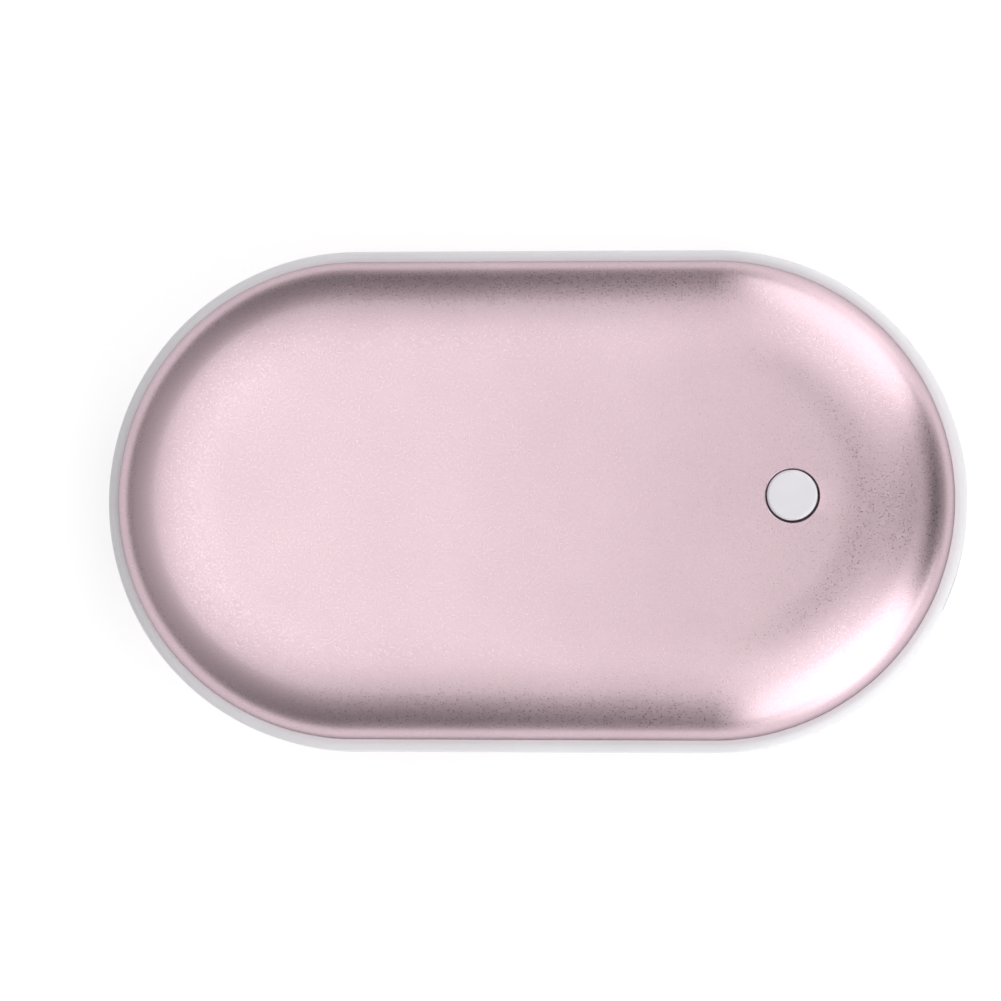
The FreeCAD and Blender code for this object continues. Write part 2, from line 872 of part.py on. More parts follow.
def power_inductor():
    half = inductor_size / 2
    middle = Vector(board_back_x + inductor_setback, inductor_y, 0)
    top = board_top + inductor_height
    low = Vector(middle.x - half, middle.y - half, board_top)
    body = upright_block(low, Vector(middle.x + half, middle.y + half, top), inductor_corner_radius)
    recess = rod(Vector(middle.x, middle.y, top - inductor_core_recess), inductor_core_radius, cut_overrun)
    return one_solid(body.cut(recess))


def board_capacitors():
    first_y = -capacitor_pitch * (capacitor_count - 1) / 2
    x = board_back_x + capacitor_setback
    top = board_top + capacitor_height
    blocks = []
    for i in range(capacitor_count):
        y = first_y + i * capacitor_pitch
        low = Vector(x - capacitor_length / 2, y - capacitor_width / 2, board_top)
        blocks.append(box(low, Vector(x + capacitor_length / 2, y + capacitor_width / 2, top)))
    return group(blocks)


# Heater films, given for the upper shell and flipped for the lower one

def plate_under_flat(radius, end_x, corner, top, thickness):
    """A plate that is round at the far end of the body and square at the button end."""
    far_x = -end_centre_x
    bend = corner * math.sqrt(1 / 2)
    points = [
        Vector(far_x, radius, top),
        Vector(end_x - corner, radius, top),
        Vector(end_x - corner + bend, radius - corner + bend, top),
        Vector(end_x, radius - corner, top),
    ]
    other = [Vector(p.x, -p.y, p.z) for p in points]
    edges = [
        line(points[0], points[1]),
        arc(*points[1:]),
        line(points[3], other[3]),
        arc(other[3], other[2], other[1]),
        line(other[1], other[0]),
        arc(other[0], Vector(far_x - radius, 0, top), points[0]),
    ]
    return Part.Face(Part.Wire(edges)).extrude(UP * -thickness)


def heater_film():
    return plate_under_flat(film_radius, film_end_x, film_corner_radius, film_top_z, film_thickness)


def heater_trace():
    """One winding foil track. Its first and last legs run on to the solder terminals."""
    left_x = -end_centre_x - trace_left_reach
    right_x = film_end_x - trace_end_gap
    terminal_x = film_end_x - trace_terminal_gap
    bottom = trace_top_z - trace_thickness
    half = trace_width / 2
    pieces = []
    for i in range(trace_legs):
        y = i * trace_pitch - trace_outer_y
        end_x = terminal_x if i in (0, trace_legs - 1) else right_x
        pieces.append(box(Vector(left_x, y - half, bottom), Vector(end_x, y + half, trace_top_z)))
    for i in range(trace_legs - 1):
        y = (i + 1 / 2) * trace_pitch - trace_outer_y
        at_left = i % 2 == 0
        centre = Vector(left_x if at_left else right_x, y, bottom)
        ring = rod(centre, trace_pitch / 2 + half, trace_thickness)
        ring = ring.cut(rod(centre, trace_pitch / 2 - half, trace_thickness))
        far_x = centre.x - trace_pitch if at_left else centre.x
        low = Vector(far_x, y - trace_pitch, bottom)
        pieces.append(ring.common(box(low, Vector(far_x + trace_pitch, y + trace_pitch, trace_top_z))))
    return fused(pieces)


def insulation_board():
    return plate_under_flat(
        insulation_radius, insulation_end_x, film_corner_radius, insulation_top_z, insulation_thickness
    )


def heater_leads(landing_z):
    """Two wires from the upper film's terminals down to the board."""
    z = insulation_top_z - lead_radius - lead_gap
    start_x = film_end_x - trace_end_gap
    end_x = board_back_x + heater_lead_landing
    wires = []
    for side in SIDES:
        y = side * trace_outer_y
        route = [Vector(start_x, y, z), Vector(end_x, y, z), Vector(end_x, y, landing_z)]
        wires.append(lead(*route, lead_radius, lead_bend_radius))
    return group(wires)


def lower_heater_leads():
    return flipped(heater_leads(body_thickness - board_bottom + solder_gap))


def thermistor():
    """The temperature sensor on the upper film, with its two thin legs."""
    z = trace_top_z - thermistor_radius - lead_gap
    x = film_end_x - trace_terminal_gap
    bead_start = Vector(x, thermistor_y - thermistor_length / 2, z)
    bead = rod(bead_start, thermistor_radius, thermistor_length, ACROSS)
    landing_x = board_back_x + thermistor_lead_bend
    legs = []
    for side in SIDES:
        y = thermistor_y + side * thermistor_lead_spacing / 2
        route = [Vector(x, y, z), Vector(landing_x, y, z), Vector(landing_x, y, board_top + solder_gap)]
        legs.append(lead(*route, thermistor_lead_radius, thermistor_lead_bend))
    return fused([bead] + legs)


# Cells and tray

def battery_cell(side):
    """A steel can in its sleeve, with the rolled bead near its positive end and the raised cap on it."""
    bead_x = cell_shoulder_x - cell_bead_setback
    corner = cell_edge_radius * (1 - math.sqrt(1 / 2))
    deep = cell_radius - cell_edge_radius
    half_bead = cell_bead_width / 2

    def at(x, radius):
        return Vector(x, 0, radius)

    edges = [line(at(cell_left_x, 0), at(cell_left_x, deep))]
    edges.append(arc(at(cell_left_x, deep), at(cell_left_x + corner, cell_radius - corner),
                     at(cell_left_x + cell_edge_radius, cell_radius)))
    edges.append(line(at(cell_left_x + cell_edge_radius, cell_radius), at(bead_x - half_bead, cell_radius)))
    edges.append(arc(at(bead_x - half_bead, cell_radius), at(bead_x, cell_radius - cell_bead_depth),
                     at(bead_x + half_bead, cell_radius)))
    shoulder_start = cell_shoulder_x - cell_edge_radius
    edges.append(line(at(bead_x + half_bead, cell_radius), at(shoulder_start, cell_radius)))
    edges.append(arc(at(shoulder_start, cell_radius), at(cell_shoulder_x - corner, cell_radius - corner),
                     at(cell_shoulder_x, deep)))
    edges += chain([
        at(cell_shoulder_x, deep),
        at(cell_shoulder_x, cell_nub_radius),
        at(cell_right_x, cell_nub_radius),
        at(cell_right_x, 0),
        at(cell_left_x, 0),
    ])
    can = Part.Face(Part.Wire(edges)).revolve(Vector(), ALONG, 360)
    can.translate(Vector(0, side * cell_y, mid_z))
    return can


def cell_washers():
    rings = []
    for side in SIDES:
        start = Vector(cell_shoulder_x, side * cell_y, mid_z)
        ring = rod(start, cell_radius - washer_edge_gap, washer_thickness, ALONG)
        rings.append(ring.cut(rod(start, cell_nub_radius + washer_hole_gap, washer_thickness, ALONG)))
    return group(rings)


def strip_plate(start_x):
    half_width = cell_y + strip_end_reach
    low = (-half_width, mid_z - strip_height / 2)
    high = (half_width, mid_z + strip_height / 2)
    return bar_along_x(start_x, start_x + strip_thickness, low, high, strip_height / 4)


def nickel_strip_positive():
    """The strip that joins the two caps, with a tab folded over on to the board."""
    low_y = tab_y - tab_width / 2
    high_y = tab_y + tab_width / 2
    top = board_top + strip_thickness
    upright = box(Vector(cell_right_x, low_y, mid_z), Vector(cell_right_x + strip_thickness, high_y, top))
    fold = box(Vector(cell_right_x, low_y, board_top), Vector(board_back_x + tab_reach, high_y, top))
    return fused([strip_plate(cell_right_x), upright, fold])


negative_lead_z = board_top + lead_radius + solder_gap


def nickel_strip_negative():
    start_x = cell_left_x - strip_thickness
    half = tab_width / 2
    tab = box(Vector(start_x, -half, mid_z), Vector(cell_left_x, half, negative_lead_z + half))
    return fused([strip_plate(start_x), tab])


def battery_lead_negative():
    """The lead that lies in the valley between the cells, from the far strip to the board."""
    start = Vector(cell_left_x, 0, negative_lead_z)
    end_x = board_back_x + board_back_margin - lead_radius
    return rod(start, lead_radius, end_x - start.x, ALONG)


def battery_tray():
    """A moulding with a trough for each cell, tabs on the frame's bosses and arms for the board."""
    start_x = cell_left_x - strip_thickness - tray_cell_clearance - tray_wall
    end_x = cell_right_x + strip_thickness + tray_cell_clearance + tray_wall
    length = end_x - start_x
    troughs = [rod(Vector(start_x, side * cell_y, mid_z), tray_outer_radius, length, ALONG) for side in SIDES]
    solid = troughs[0].fuse(troughs[1])
    rooms = []
    for side in SIDES:
        room_start = Vector(start_x + tray_wall, side * cell_y, mid_z)
        rooms.append(rod(room_start, tray_inner_radius, length - 2 * tray_wall, ALONG))
    solid = solid.cut(group(rooms))
    lower = box(Vector(start_x, -body_width, tray_floor_z), Vector(end_x, body_width, mid_z))
    solid = solid.common(lower)
    strip_room_z = mid_z - strip_height / 2 - tray_cell_clearance
    strip_room_y = cell_y + strip_end_reach + tray_cell_clearance
    window = box(
        Vector(cell_right_x - tray_cell_clearance, -body_width, strip_room_z),
        Vector(end_x, body_width, mid_z),
    )
    slot = box(
        Vector(start_x + tray_wall, -strip_room_y, strip_room_z),
        Vector(cell_left_x + tray_cell_clearance, strip_room_y, mid_z),
    )
    solid = solid.cut(group([window, slot]))
    tabs = []
    root_y = cell_y + tray_inner_radius * math.sqrt(3) / 2
    for x, y in boss_places:
        ends = sorted((math.copysign(root_y, y), math.copysign(frame_inner_radius, y)))
        low = Vector(x - tray_tab_width / 2, ends[0], tray_flange_z)
        tabs.append(box(low, Vector(x + tray_tab_width / 2, ends[1], mid_z)))
    arms = []
    posts = []
    for x, y in board_screw_places:
        ends = sorted((math.copysign(tray_arm_inner_y, y), math.copysign(tray_arm_outer_y, y)))
        arm_start = end_x - tray_wall - tray_arm_reach
        low = Vector(arm_start, ends[0], tray_flange_z)
        arms.append(box(low, Vector(x + tray_arm_reach, ends[1], mid_z)))
        posts.append(rod(Vector(x, y, mid_z - tray_flange_thickness / 2), post_radius,
                         board_bottom - mid_z + tray_flange_thickness / 2))
    body = fused([solid] + [one_solid(arm.cut(group(rooms))) for arm in tabs + arms] + posts)
    body = body.common(stadium_block(tray_limit_radius, 0, body_thickness))
    holes = [
        rod(Vector(x, y, tray_flange_z - cut_overrun), screw_radius + board_screw_hole_gap,
            tray_flange_thickness + 2 * cut_overrun)
        for x, y in boss_places
    ]
    holes += [
        rod(Vector(x, y, tray_flange_z - cut_overrun), screw_radius + screw_hole_gap, body_thickness)
        for x, y in board_screw_places
    ]
    return one_solid(body.cut(group(holes)))


def screw(x, y, seat_z, length):
    """A pan-head screw with a cross recess. Its head lies on the seat."""
    top = seat_z + screw_head_height
    shape = turned([
        Vector(0, 0, seat_z - length),
        Vector(screw_radius, 0, seat_z - length),
        Vector(screw_radius, 0, seat_z),
        Vector(screw_head_radius, 0, seat_z),
        Vector(screw_head_radius, 0, top - screw_head_edge),
        Vector(screw_head_radius - screw_head_edge, 0, top),
        Vector(0, 0, top),
    ], Vector())
    half = screw_slot_width / 2
    reach = screw_head_radius - screw_head_edge
    slot_z = top - screw_slot_depth
    end_z = top + cut_overrun
    slots = [
        box(Vector(-reach, -half, slot_z), Vector(reach, half, end_z)),
        box(Vector(-half, -reach, slot_z), Vector(half, reach, end_z)),
    ]
    shape = one_solid(shape.cut(group(slots)))
    shape.translate(Vector(x, y, 0))
    return shape


def tray_screws():
    return group([screw(x, y, mid_z, tray_screw_length) for x, y in boss_places])


def board_screws():
    return group([screw(x, y, board_top, board_screw_length) for x, y in board_screw_places])


def build():
    """Every piece of the hand warmer by its name."""
    glue = shell_adhesive()
    film = heater_film()
    trace = heater_trace()
    insulation = insulation_board()
    left, right = SIDES
    return {
        "top_shell": top_shell(),
        "bottom_shell": bottom_shell(),
        "mid_frame": mid_frame(),
        "upper_shell_adhesive": glue,
        "lower_shell_adhesive": flipped(glue),
        "power_button": power_button(),
        "button_collar": button_collar(),
        "switch_base": switch_base(),
        "switch_cover": switch_cover(),
        "switch_plunger": switch_plunger(),
        "switch_dome": switch_dome(),
        "main_board": main_board(),
        "usb_output_shell": usb_output_shell(),
        "usb_output_tongue": usb_output_tongue(),
        "usb_output_contacts": usb_output_contacts(),
        "charge_port_shell": charge_port_shell(),
        "charge_port_tongue": charge_port_tongue(),
        "charge_port_contacts": charge_port_contacts(),
        "indicator_leds": indicator_leds(),
        "light_pipe": light_pipe(),
        "control_chip": control_chip(),
        "charger_chip": charger_chip(),
        "power_inductor": power_inductor(),
        "board_capacitors": board_capacitors(),
        "upper_heater_film": film,
        "lower_heater_film": flipped(film),
        "upper_heater_trace": trace,
        "lower_heater_trace": flipped(trace),
        "upper_insulation_board": insulation,
        "lower_insulation_board": flipped(insulation),
        "upper_heater_leads": heater_leads(board_top + solder_gap),
        "lower_heater_leads": lower_heater_leads(),
        "thermistor": thermistor(),
        "battery_cell_left": battery_cell(left),
        "battery_cell_right": battery_cell(right),
        "cell_washers": cell_washers(),
        "nickel_strip_positive": nickel_strip_positive(),
        "nickel_strip_negative": nickel_strip_negative(),
        "battery_lead_negative": battery_lead_negative(),
        "battery_tray": battery_tray(),
        "tray_screws": tray_screws(),
        "board_screws": board_screws(),
    }


os.makedirs("parts", exist_ok=True)
for name, shape in build().items():
    shape.exportStep(os.path.join("parts", name + ".step"))
    print(f"{name}: {len(shape.Solids)} solid(s), {shape.Volume:.1f} mm3, valid {shape.isValid()}")
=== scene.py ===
import math
import bmesh
import bpy
from mathutils import Matrix, Vector


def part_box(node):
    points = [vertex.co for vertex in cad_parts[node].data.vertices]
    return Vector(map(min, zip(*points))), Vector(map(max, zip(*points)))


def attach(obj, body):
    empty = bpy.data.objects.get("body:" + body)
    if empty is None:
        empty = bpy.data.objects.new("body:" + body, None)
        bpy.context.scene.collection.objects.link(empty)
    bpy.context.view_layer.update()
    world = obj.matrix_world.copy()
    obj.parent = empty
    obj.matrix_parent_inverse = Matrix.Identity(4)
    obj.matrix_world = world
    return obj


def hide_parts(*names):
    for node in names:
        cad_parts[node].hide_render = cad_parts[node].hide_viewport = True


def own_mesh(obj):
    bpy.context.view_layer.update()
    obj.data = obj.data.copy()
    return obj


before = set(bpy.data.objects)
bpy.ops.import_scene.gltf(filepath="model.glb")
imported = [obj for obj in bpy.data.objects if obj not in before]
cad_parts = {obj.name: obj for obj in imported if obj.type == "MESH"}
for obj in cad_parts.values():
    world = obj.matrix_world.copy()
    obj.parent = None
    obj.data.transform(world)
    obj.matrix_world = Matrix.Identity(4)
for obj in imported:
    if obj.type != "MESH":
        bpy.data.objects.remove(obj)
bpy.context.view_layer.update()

# Frame
# The white band all round is one ABS moulding with a satin texture. It has a groove on each face for a
# shell's rim, a spigot inside the groove, and openings for the two sockets and the four charge lamps.
mm = 0.001
frame_low, frame_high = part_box("mid_frame")
shell_low, shell_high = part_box("top_shell")
outer_radius = frame_high.y
end_centre_x = -frame_low.x - outer_radius
body_thickness = shell_high.z
mid_z = body_thickness / 2
band_half_height = 4.3 * mm
band_top = mid_z + band_half_height
rim_radius = shell_high.y
shell_wall = 0.8 * mm
groove_clearance = 0.1 * mm
rim_gap = 0.015 * mm
groove_depth = 0.9 * mm
groove_floor = band_top - groove_depth
groove_radius = rim_radius + rim_gap
spigot_radius = rim_radius - shell_wall - groove_clearance
spigot_top = frame_high.z
spigot_chamfer = 0.4 * mm
frame_wall = 1.05 * mm
frame_inner_radius = spigot_radius - frame_wall
band_corner_radius = 0.9 * mm
band_crown = 0.1 * mm
moulded_edge = 0.08 * mm
arc_step = math.radians(6)
arc_chord = 0.8 * mm
path_radius = 10 * mm
path_steps = 258
merge_distance = 0.002 * mm
sharp_angle = math.radians(35)
flat_weight = 100

# Most of a cloudy pattern lies between these two values.
cloud_low = 0.3
cloud_high = 0.7


def add_node(tree, kind, values=None, **settings):
    """One node of a tree, with its settings and the values of its sockets."""
    node = tree.nodes.new(kind)
    for name, value in settings.items():
        setattr(node, name, value)
    for name, value in (values or {}).items():
        node.inputs[name].default_value = value
    return node


def start_material(name, **sockets):
    """A new material, its tree, its shader and the place on the piece that its patterns read."""
    finish = bpy.data.materials.new(name)
    finish.use_nodes = True
    tree = finish.node_tree
    shader = tree.nodes["Principled BSDF"]
    for socket, value in sockets.items():
        shader.inputs[socket.replace("_", " ")].default_value = value
    place = add_node(tree, "ShaderNodeTexCoord").outputs["Object"]
    return finish, tree, shader, place


def cloud(tree, place, size, detail=2):
    """A cloudy pattern between 0 and 1, whose blobs have about the given size along each axis."""
    scaled = add_node(tree, "ShaderNodeMapping", {"Scale": [1 / length for length in size]})
    noise = add_node(tree, "ShaderNodeTexNoise", {"Scale": 1, "Detail": detail})
    tree.links.new(place, scaled.inputs["Vector"])
    tree.links.new(scaled.outputs["Vector"], noise.inputs["Vector"])
    return noise.outputs["Fac"]


def colour_by(tree, pattern, stops, interpolation="LINEAR"):
    """A colour along a pattern, from stops of a position and a colour."""
    ramp = add_node(tree, "ShaderNodeValToRGB")
    ramp.color_ramp.interpolation = interpolation
    elements = ramp.color_ramp.elements
    while len(elements) < len(stops):
        elements.new(1)
    for element, (position, colour) in zip(elements, stops):
        element.position = position
        element.color = (*colour, 1)
    tree.links.new(pattern, ramp.inputs["Fac"])
    return ramp.outputs["Color"]


def value_by(tree, pattern, low, high, start=cloud_low, end=cloud_high):
    """A number that runs from low to high along a pattern, by default over most of a cloudy one."""
    limits = {"From Min": start, "From Max": end, "To Min": low, "To Max": high}
    spread = add_node(tree, "ShaderNodeMapRange", limits)
    tree.links.new(pattern, spread.inputs["Value"])
    return spread.outputs["Result"]


def relief(tree, shader, height, depth):
    """Raises the surface by up to the given depth along a pattern."""
    bump = add_node(tree, "ShaderNodeBump", {"Distance": depth})
    tree.links.new(height, bump.inputs["Height"])
    tree.links.new(bump.outputs["Normal"], shader.inputs["Normal"])


def plain_finish(name, dark, light, rough, cloud_size, grain_size, grain_depth, **sockets):
    """A surface with a slightly uneven colour and gloss and a fine relief."""
    finish, tree, shader, place = start_material(name, **sockets)
    tone = cloud(tree, place, cloud_size)
    colour = colour_by(tree, tone, [(cloud_low, dark), (cloud_high, light)])
    tree.links.new(colour, shader.inputs["Base Color"])
    tree.links.new(value_by(tree, tone, *rough), shader.inputs["Roughness"])
    relief(tree, shader, cloud(tree, place, grain_size), grain_depth)
    return finish


def even(length):
    """The same size along each axis."""
    return (length, length, length)


def rounded(corners, closed):
    """Points along a line of corners, each given with the radius that rounds it."""
    points = []
    count = len(corners)
    for i, (u, v, radius) in enumerate(corners):
        here = Vector((u, v))
        if not radius or (not closed and i in (0, count - 1)):
            points.append(here)
            continue
        before = (Vector(corners[i - 1][:2]) - here).normalized()
        after = (Vector(corners[(i + 1) % count][:2]) - here).normalized()
        half = before.angle(after) / 2
        centre = here + (before + after).normalized() * (radius / math.sin(half))
        first = here + before * (radius / math.tan(half)) - centre
        last = here + after * (radius / math.tan(half)) - centre
        turn = math.pi - 2 * half
        steps = max(2, math.ceil(turn / arc_step), math.ceil(turn * radius / arc_chord))
        way = 1 if first.cross(last) > 0 else -1
        for k in range(steps + 1):
            points.append(centre + Matrix.Rotation(way * turn * k / steps, 2) @ first)
    return points


def start_tree(name, inputs):
    """A new Geometry Nodes tree, what it is given, and a function that adds a node to it."""
    tree = bpy.data.node_groups.new(name, "GeometryNodeTree")
    for socket, kind in inputs.items():
        tree.interface.new_socket(socket, in_out="INPUT", socket_type="NodeSocket" + kind)
    tree.interface.new_socket("Result", in_out="OUTPUT", socket_type="NodeSocketGeometry")

    def joined(kind, sources, values=None, **settings):
        node = add_node(tree, kind, values, **settings)
        for socket, source in sources.items():
            tree.links.new(source, node.inputs[socket])
        return node.outputs[0]

    return tree, add_node(tree, "NodeGroupInput").outputs, joined


def end_tree(tree, joined, result, finish):
    """Ends a tree with one plain mesh in one material."""
    result = joined("GeometryNodeRealizeInstances", {"Geometry": result})
    result = joined("GeometryNodeSetMaterial", {"Geometry": result, "Material": finish})
    tree.links.new(result, add_node(tree, "NodeGroupOutput").inputs["Result"])
    return tree


def sweep_tree():
    """Carries a section round a circle and pulls the halves of the result apart, which makes a pill. In
    the section, x is the distance out from the circle and y is the height, turned over."""
    tree, given, joined = start_tree("section round a pill", {
        "Section": "Geometry", "Half straight": "Float", "Path radius": "Float", "Steps": "Int",
        "Middle": "Vector", "Finish": "Material",
    })
    path = {"Resolution": given["Steps"], "Radius": given["Path radius"]}
    path = joined("GeometryNodeCurvePrimitiveCircle", path)
    path = joined("GeometryNodeSetCurveNormal", {"Curve": path}, mode="Z_UP")
    along = joined("ShaderNodeSeparateXYZ", {"Vector": joined("GeometryNodeInputPosition", {})})
    side = joined("ShaderNodeMath", {0: along}, operation="SIGN")
    pull = joined("ShaderNodeMath", {0: side, 1: given["Half straight"]}, operation="MULTIPLY")
    path = joined("GeometryNodeStoreNamedAttribute", {"Geometry": path, "Value": pull}, {"Name": "pull"})
    outline = joined("GeometryNodeMeshToCurve", {"Mesh": given["Section"]})
    piece = joined("GeometryNodeCurveToMesh", {"Curve": path, "Profile Curve": outline})
    kept_pull = joined("GeometryNodeInputNamedAttribute", {}, {"Name": "pull"})
    pull = joined("ShaderNodeCombineXYZ", {"X": kept_pull})
    move = joined("ShaderNodeVectorMath", {0: pull, 1: given["Middle"]}, operation="ADD")
    piece = joined("GeometryNodeSetPosition", {"Geometry": piece, "Offset": move})
    piece = joined("GeometryNodeRemoveAttribute", {"Geometry": piece}, {"Name": "pull"})
    return end_tree(tree, joined, piece, given["Finish"])


def repeat_tree():
    """Copies a piece several times, each turned on from the last about an upright axis."""
    tree, given, joined = start_tree("copies round an end", {
        "Piece": "Geometry", "Count": "Int", "Turn": "Float", "Axis": "Vector", "Finish": "Material",
    })
    back = joined("ShaderNodeVectorMath", {0: given["Axis"]}, {"Scale": -1}, operation="SCALE")
    first = joined("GeometryNodeTransform", {"Geometry": given["Piece"], "Translation": back})
    index = joined("GeometryNodeInputIndex", {})
    angle = joined("ShaderNodeMath", {0: given["Turn"], 1: index}, operation="MULTIPLY")
    turn = joined("ShaderNodeCombineXYZ", {"Z": angle})
    points = joined("GeometryNodePoints", {"Count": given["Count"], "Position": given["Axis"]})
    copies = {"Points": points, "Instance": first, "Rotation": turn}
    copies = joined("GeometryNodeInstanceOnPoints", copies)
    return end_tree(tree, joined, copies, given["Finish"])


sweep = sweep_tree()
repeat = repeat_tree()


def as_object(name, data):
    """A new object in the scene that holds a mesh, a lamp or a camera."""
    piece = bpy.data.objects.new(name, data)
    bpy.context.scene.collection.objects.link(piece)
    return piece


def plain_mesh(piece):
    """Puts what the modifiers make of a piece in place of its mesh."""
    bpy.context.view_layer.update()
    made = bpy.data.meshes.new_from_object(piece.evaluated_get(bpy.context.evaluated_depsgraph_get()))
    piece.modifiers.clear()
    piece.data = made


def settled(piece):
    """Makes a piece a plain mesh with its sharp edges marked and flats that shade flat."""
    plain_mesh(piece)
    shape = bmesh.new()
    shape.from_mesh(piece.data)
    bmesh.ops.remove_doubles(shape, verts=shape.verts, dist=merge_distance)
    bmesh.ops.dissolve_degenerate(shape, edges=shape.edges, dist=merge_distance)
    bmesh.ops.recalc_face_normals(shape, faces=shape.faces)
    if shape.calc_volume(signed=True) < 0:
        bmesh.ops.reverse_faces(shape, faces=shape.faces)
    shape.to_mesh(piece.data)
    shape.free()
    piece.data.shade_smooth()
    piece.data.set_sharp_from_angle(angle=sharp_angle)
    shading = piece.modifiers.new("shading", "WEIGHTED_NORMAL")
    shading.keep_sharp = True
    shading.weight = flat_weight
    plain_mesh(piece)
    return piece


def run_tree(piece, tree, values):
    """Lets a Geometry Nodes tree shape a piece with the given values of its inputs."""
    maker = piece.modifiers.new(tree.name, "NODES")
    maker.node_group = tree
    for socket in tree.interface.items_tree:
        if socket.name in values:
            maker[socket.identifier] = values[socket.name]
    return settled(piece)


def swept(name, points, closed, finish, half_straight, middle=(0, 0, 0), steps=path_steps):
    """A piece whose section is carried round the body, or turned about an upright axis."""
    section = bpy.data.meshes.new(name)
    edges = [(i, i + 1) for i in range(len(points) - 1)]
    if closed:
        edges.append((len(points) - 1, 0))
    section.from_pydata([(r - path_radius, -z, 0) for r, z in points], edges, [])
    return run_tree(as_object(name, section), sweep, {
        "Half straight": half_straight, "Path radius": path_radius, "Steps": steps,
        "Middle": middle, "Finish": finish,
    })


def repeated(piece, count, turn, axis, finish):
    """Copies of a piece, turned on about an upright axis."""
    return run_tree(piece, repeat, {"Count": count, "Turn": turn, "Axis": axis, "Finish": finish})


def ringed(name, rings, finish):
    """A closed piece made of rings of points, with its first and last ring filled."""
    shape = bmesh.new()
    rows = [[shape.verts.new(point) for point in ring] for ring in rings]
    count = len(rows[0])
    for row, following in zip(rows, rows[1:]):
        for i in range(count):
            k = (i + 1) % count
            shape.faces.new((row[i], row[k], following[k], following[i]))
    shape.faces.new(rows[0])
    shape.faces.new(rows[-1])
    mesh = bpy.data.meshes.new(name)
    shape.to_mesh(mesh)
    shape.free()
    mesh.materials.append(finish)
    return settled(as_object(name, mesh))


def cut_away(piece, cutters):
    """Takes the cutters out of a piece and removes them."""
    for cutter in cutters:
        cut = piece.modifiers.new("cut", "BOOLEAN")
        cut.object = cutter
        cut.solver = "EXACT"
    settled(piece)
    for cutter in cutters:
        bpy.data.objects.remove(cutter)


def joined_up(piece, others):
    """Makes one piece of several."""
    shape = bmesh.new()
    for part in [piece] + others:
        shape.from_mesh(part.data)
    shape.to_mesh(piece.data)
    shape.free()
    for part in others:
        bpy.data.objects.remove(part)
    return settled(piece)


def hand_over(piece, body, node):
    """Puts a finished piece in the place of its CAD node."""
    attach(piece, body)
    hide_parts(node)


def paint(finish, *nodes):
    """Gives a finish to CAD nodes that are shown as they are."""
    for name in nodes:
        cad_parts[name].data.materials[0] = finish


white_abs = plain_finish(
    "white_abs", dark=(0.785, 0.775, 0.80), light=(0.815, 0.805, 0.83), rough=(0.36, 0.44),
    cloud_size=even(9 * mm), grain_size=even(0.12 * mm), grain_depth=0.003 * mm,
)
frame_half = [
    (frame_inner_radius, spigot_top, moulded_edge),
    (spigot_radius - spigot_chamfer, spigot_top, moulded_edge),
    (spigot_radius, spigot_top - spigot_chamfer, moulded_edge),
    (spigot_radius, groove_floor, moulded_edge),
    (groove_radius, groove_floor, moulded_edge),
    (groove_radius, band_top, moulded_edge),
    (outer_radius - band_crown, band_top, band_corner_radius),
]
frame_corners = frame_half + [(outer_radius, mid_z, 0)]
frame_corners += [(r, body_thickness - z, radius) for r, z, radius in reversed(frame_half)]
mid_frame = swept("frame_moulding", rounded(frame_corners, True), True, white_abs, end_centre_x)

# The openings in the frame have a slightly broken edge that follows the round end.
port_clearance = 0.15 * mm
port_corner_radius = 0.3 * mm
port_edge = 0.2 * mm
port_overrun = 1 * mm
side_steps = 8
usb_low, usb_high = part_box("usb_output_shell")
usb_top = 2 * mid_z - usb_low.z
charge_low, charge_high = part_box("charge_port_shell")
lamp_low, lamp_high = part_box("light_pipe")
lamp_count = 4
lamp_first_angle = math.radians(30.08)
lamp_pitch = 2.6 * mm
lamp_turn = lamp_pitch / outer_radius
lamp_z = (lamp_low.z + lamp_high.z) / 2
pip_radius = 0.65 * mm
pip_hole_radius = 0.7 * mm
pip_recess = 0.1 * mm
circle_points = 24
lamp_axis = (end_centre_x, 0, 0)


def oblong(y0, z0, y1, z1, corner):
    """The outline of an oblong with rounded corners."""
    return rounded([(y0, z0, corner), (y1, z0, corner), (y1, z1, corner), (y0, z1, corner)], True)


def band_x(y):
    """Where the outside of the band's round end lies."""
    return end_centre_x + math.sqrt(outer_radius ** 2 - y ** 2)


def port_cutter(name, y0, z0, y1, z1):
    """A bar with the opening's outline, which flares where it leaves the frame."""
    flares = ((-2 * port_edge, 0), (-port_edge / 2, 0), (0, port_edge / 2), (port_overrun, port_overrun))
    rings = []
    for back, grow in flares:
        out = port_clearance + grow
        corners = oblong(y0 - out, z0 - out, y1 + out, z1 + out, port_corner_radius + grow)
        outline = []
        for first, last in zip(corners, corners[1:] + corners[:1]):
            outline += [first.lerp(last, k / side_steps) for k in range(side_steps)]
        if not rings:
            rings.append([(end_centre_x + frame_inner_radius / 2, y, z) for y, z in outline])
        rings.append([(band_x(y) + back, y, z) for y, z in outline])
    return ringed(name, rings, white_abs)


def pin(name, angle, stations, finish):
    """A round pin that points out of the round end. Each station is a distance and a radius."""
    out = Vector((math.cos(angle), math.sin(angle), 0))
    aside = Vector((-out.y, out.x, 0))
    turns = [2 * math.pi * i / circle_points for i in range(circle_points)]
    rings = []
    for distance, radius in stations:
        centre = Vector((end_centre_x, 0, lamp_z)) + out * distance
        ring = []
        for turn in turns:
            up = Vector((0, 0, radius * math.sin(turn)))
            ring.append(centre + aside * (radius * math.cos(turn)) + up)
        rings.append(ring)
    return ringed(name, rings, finish)


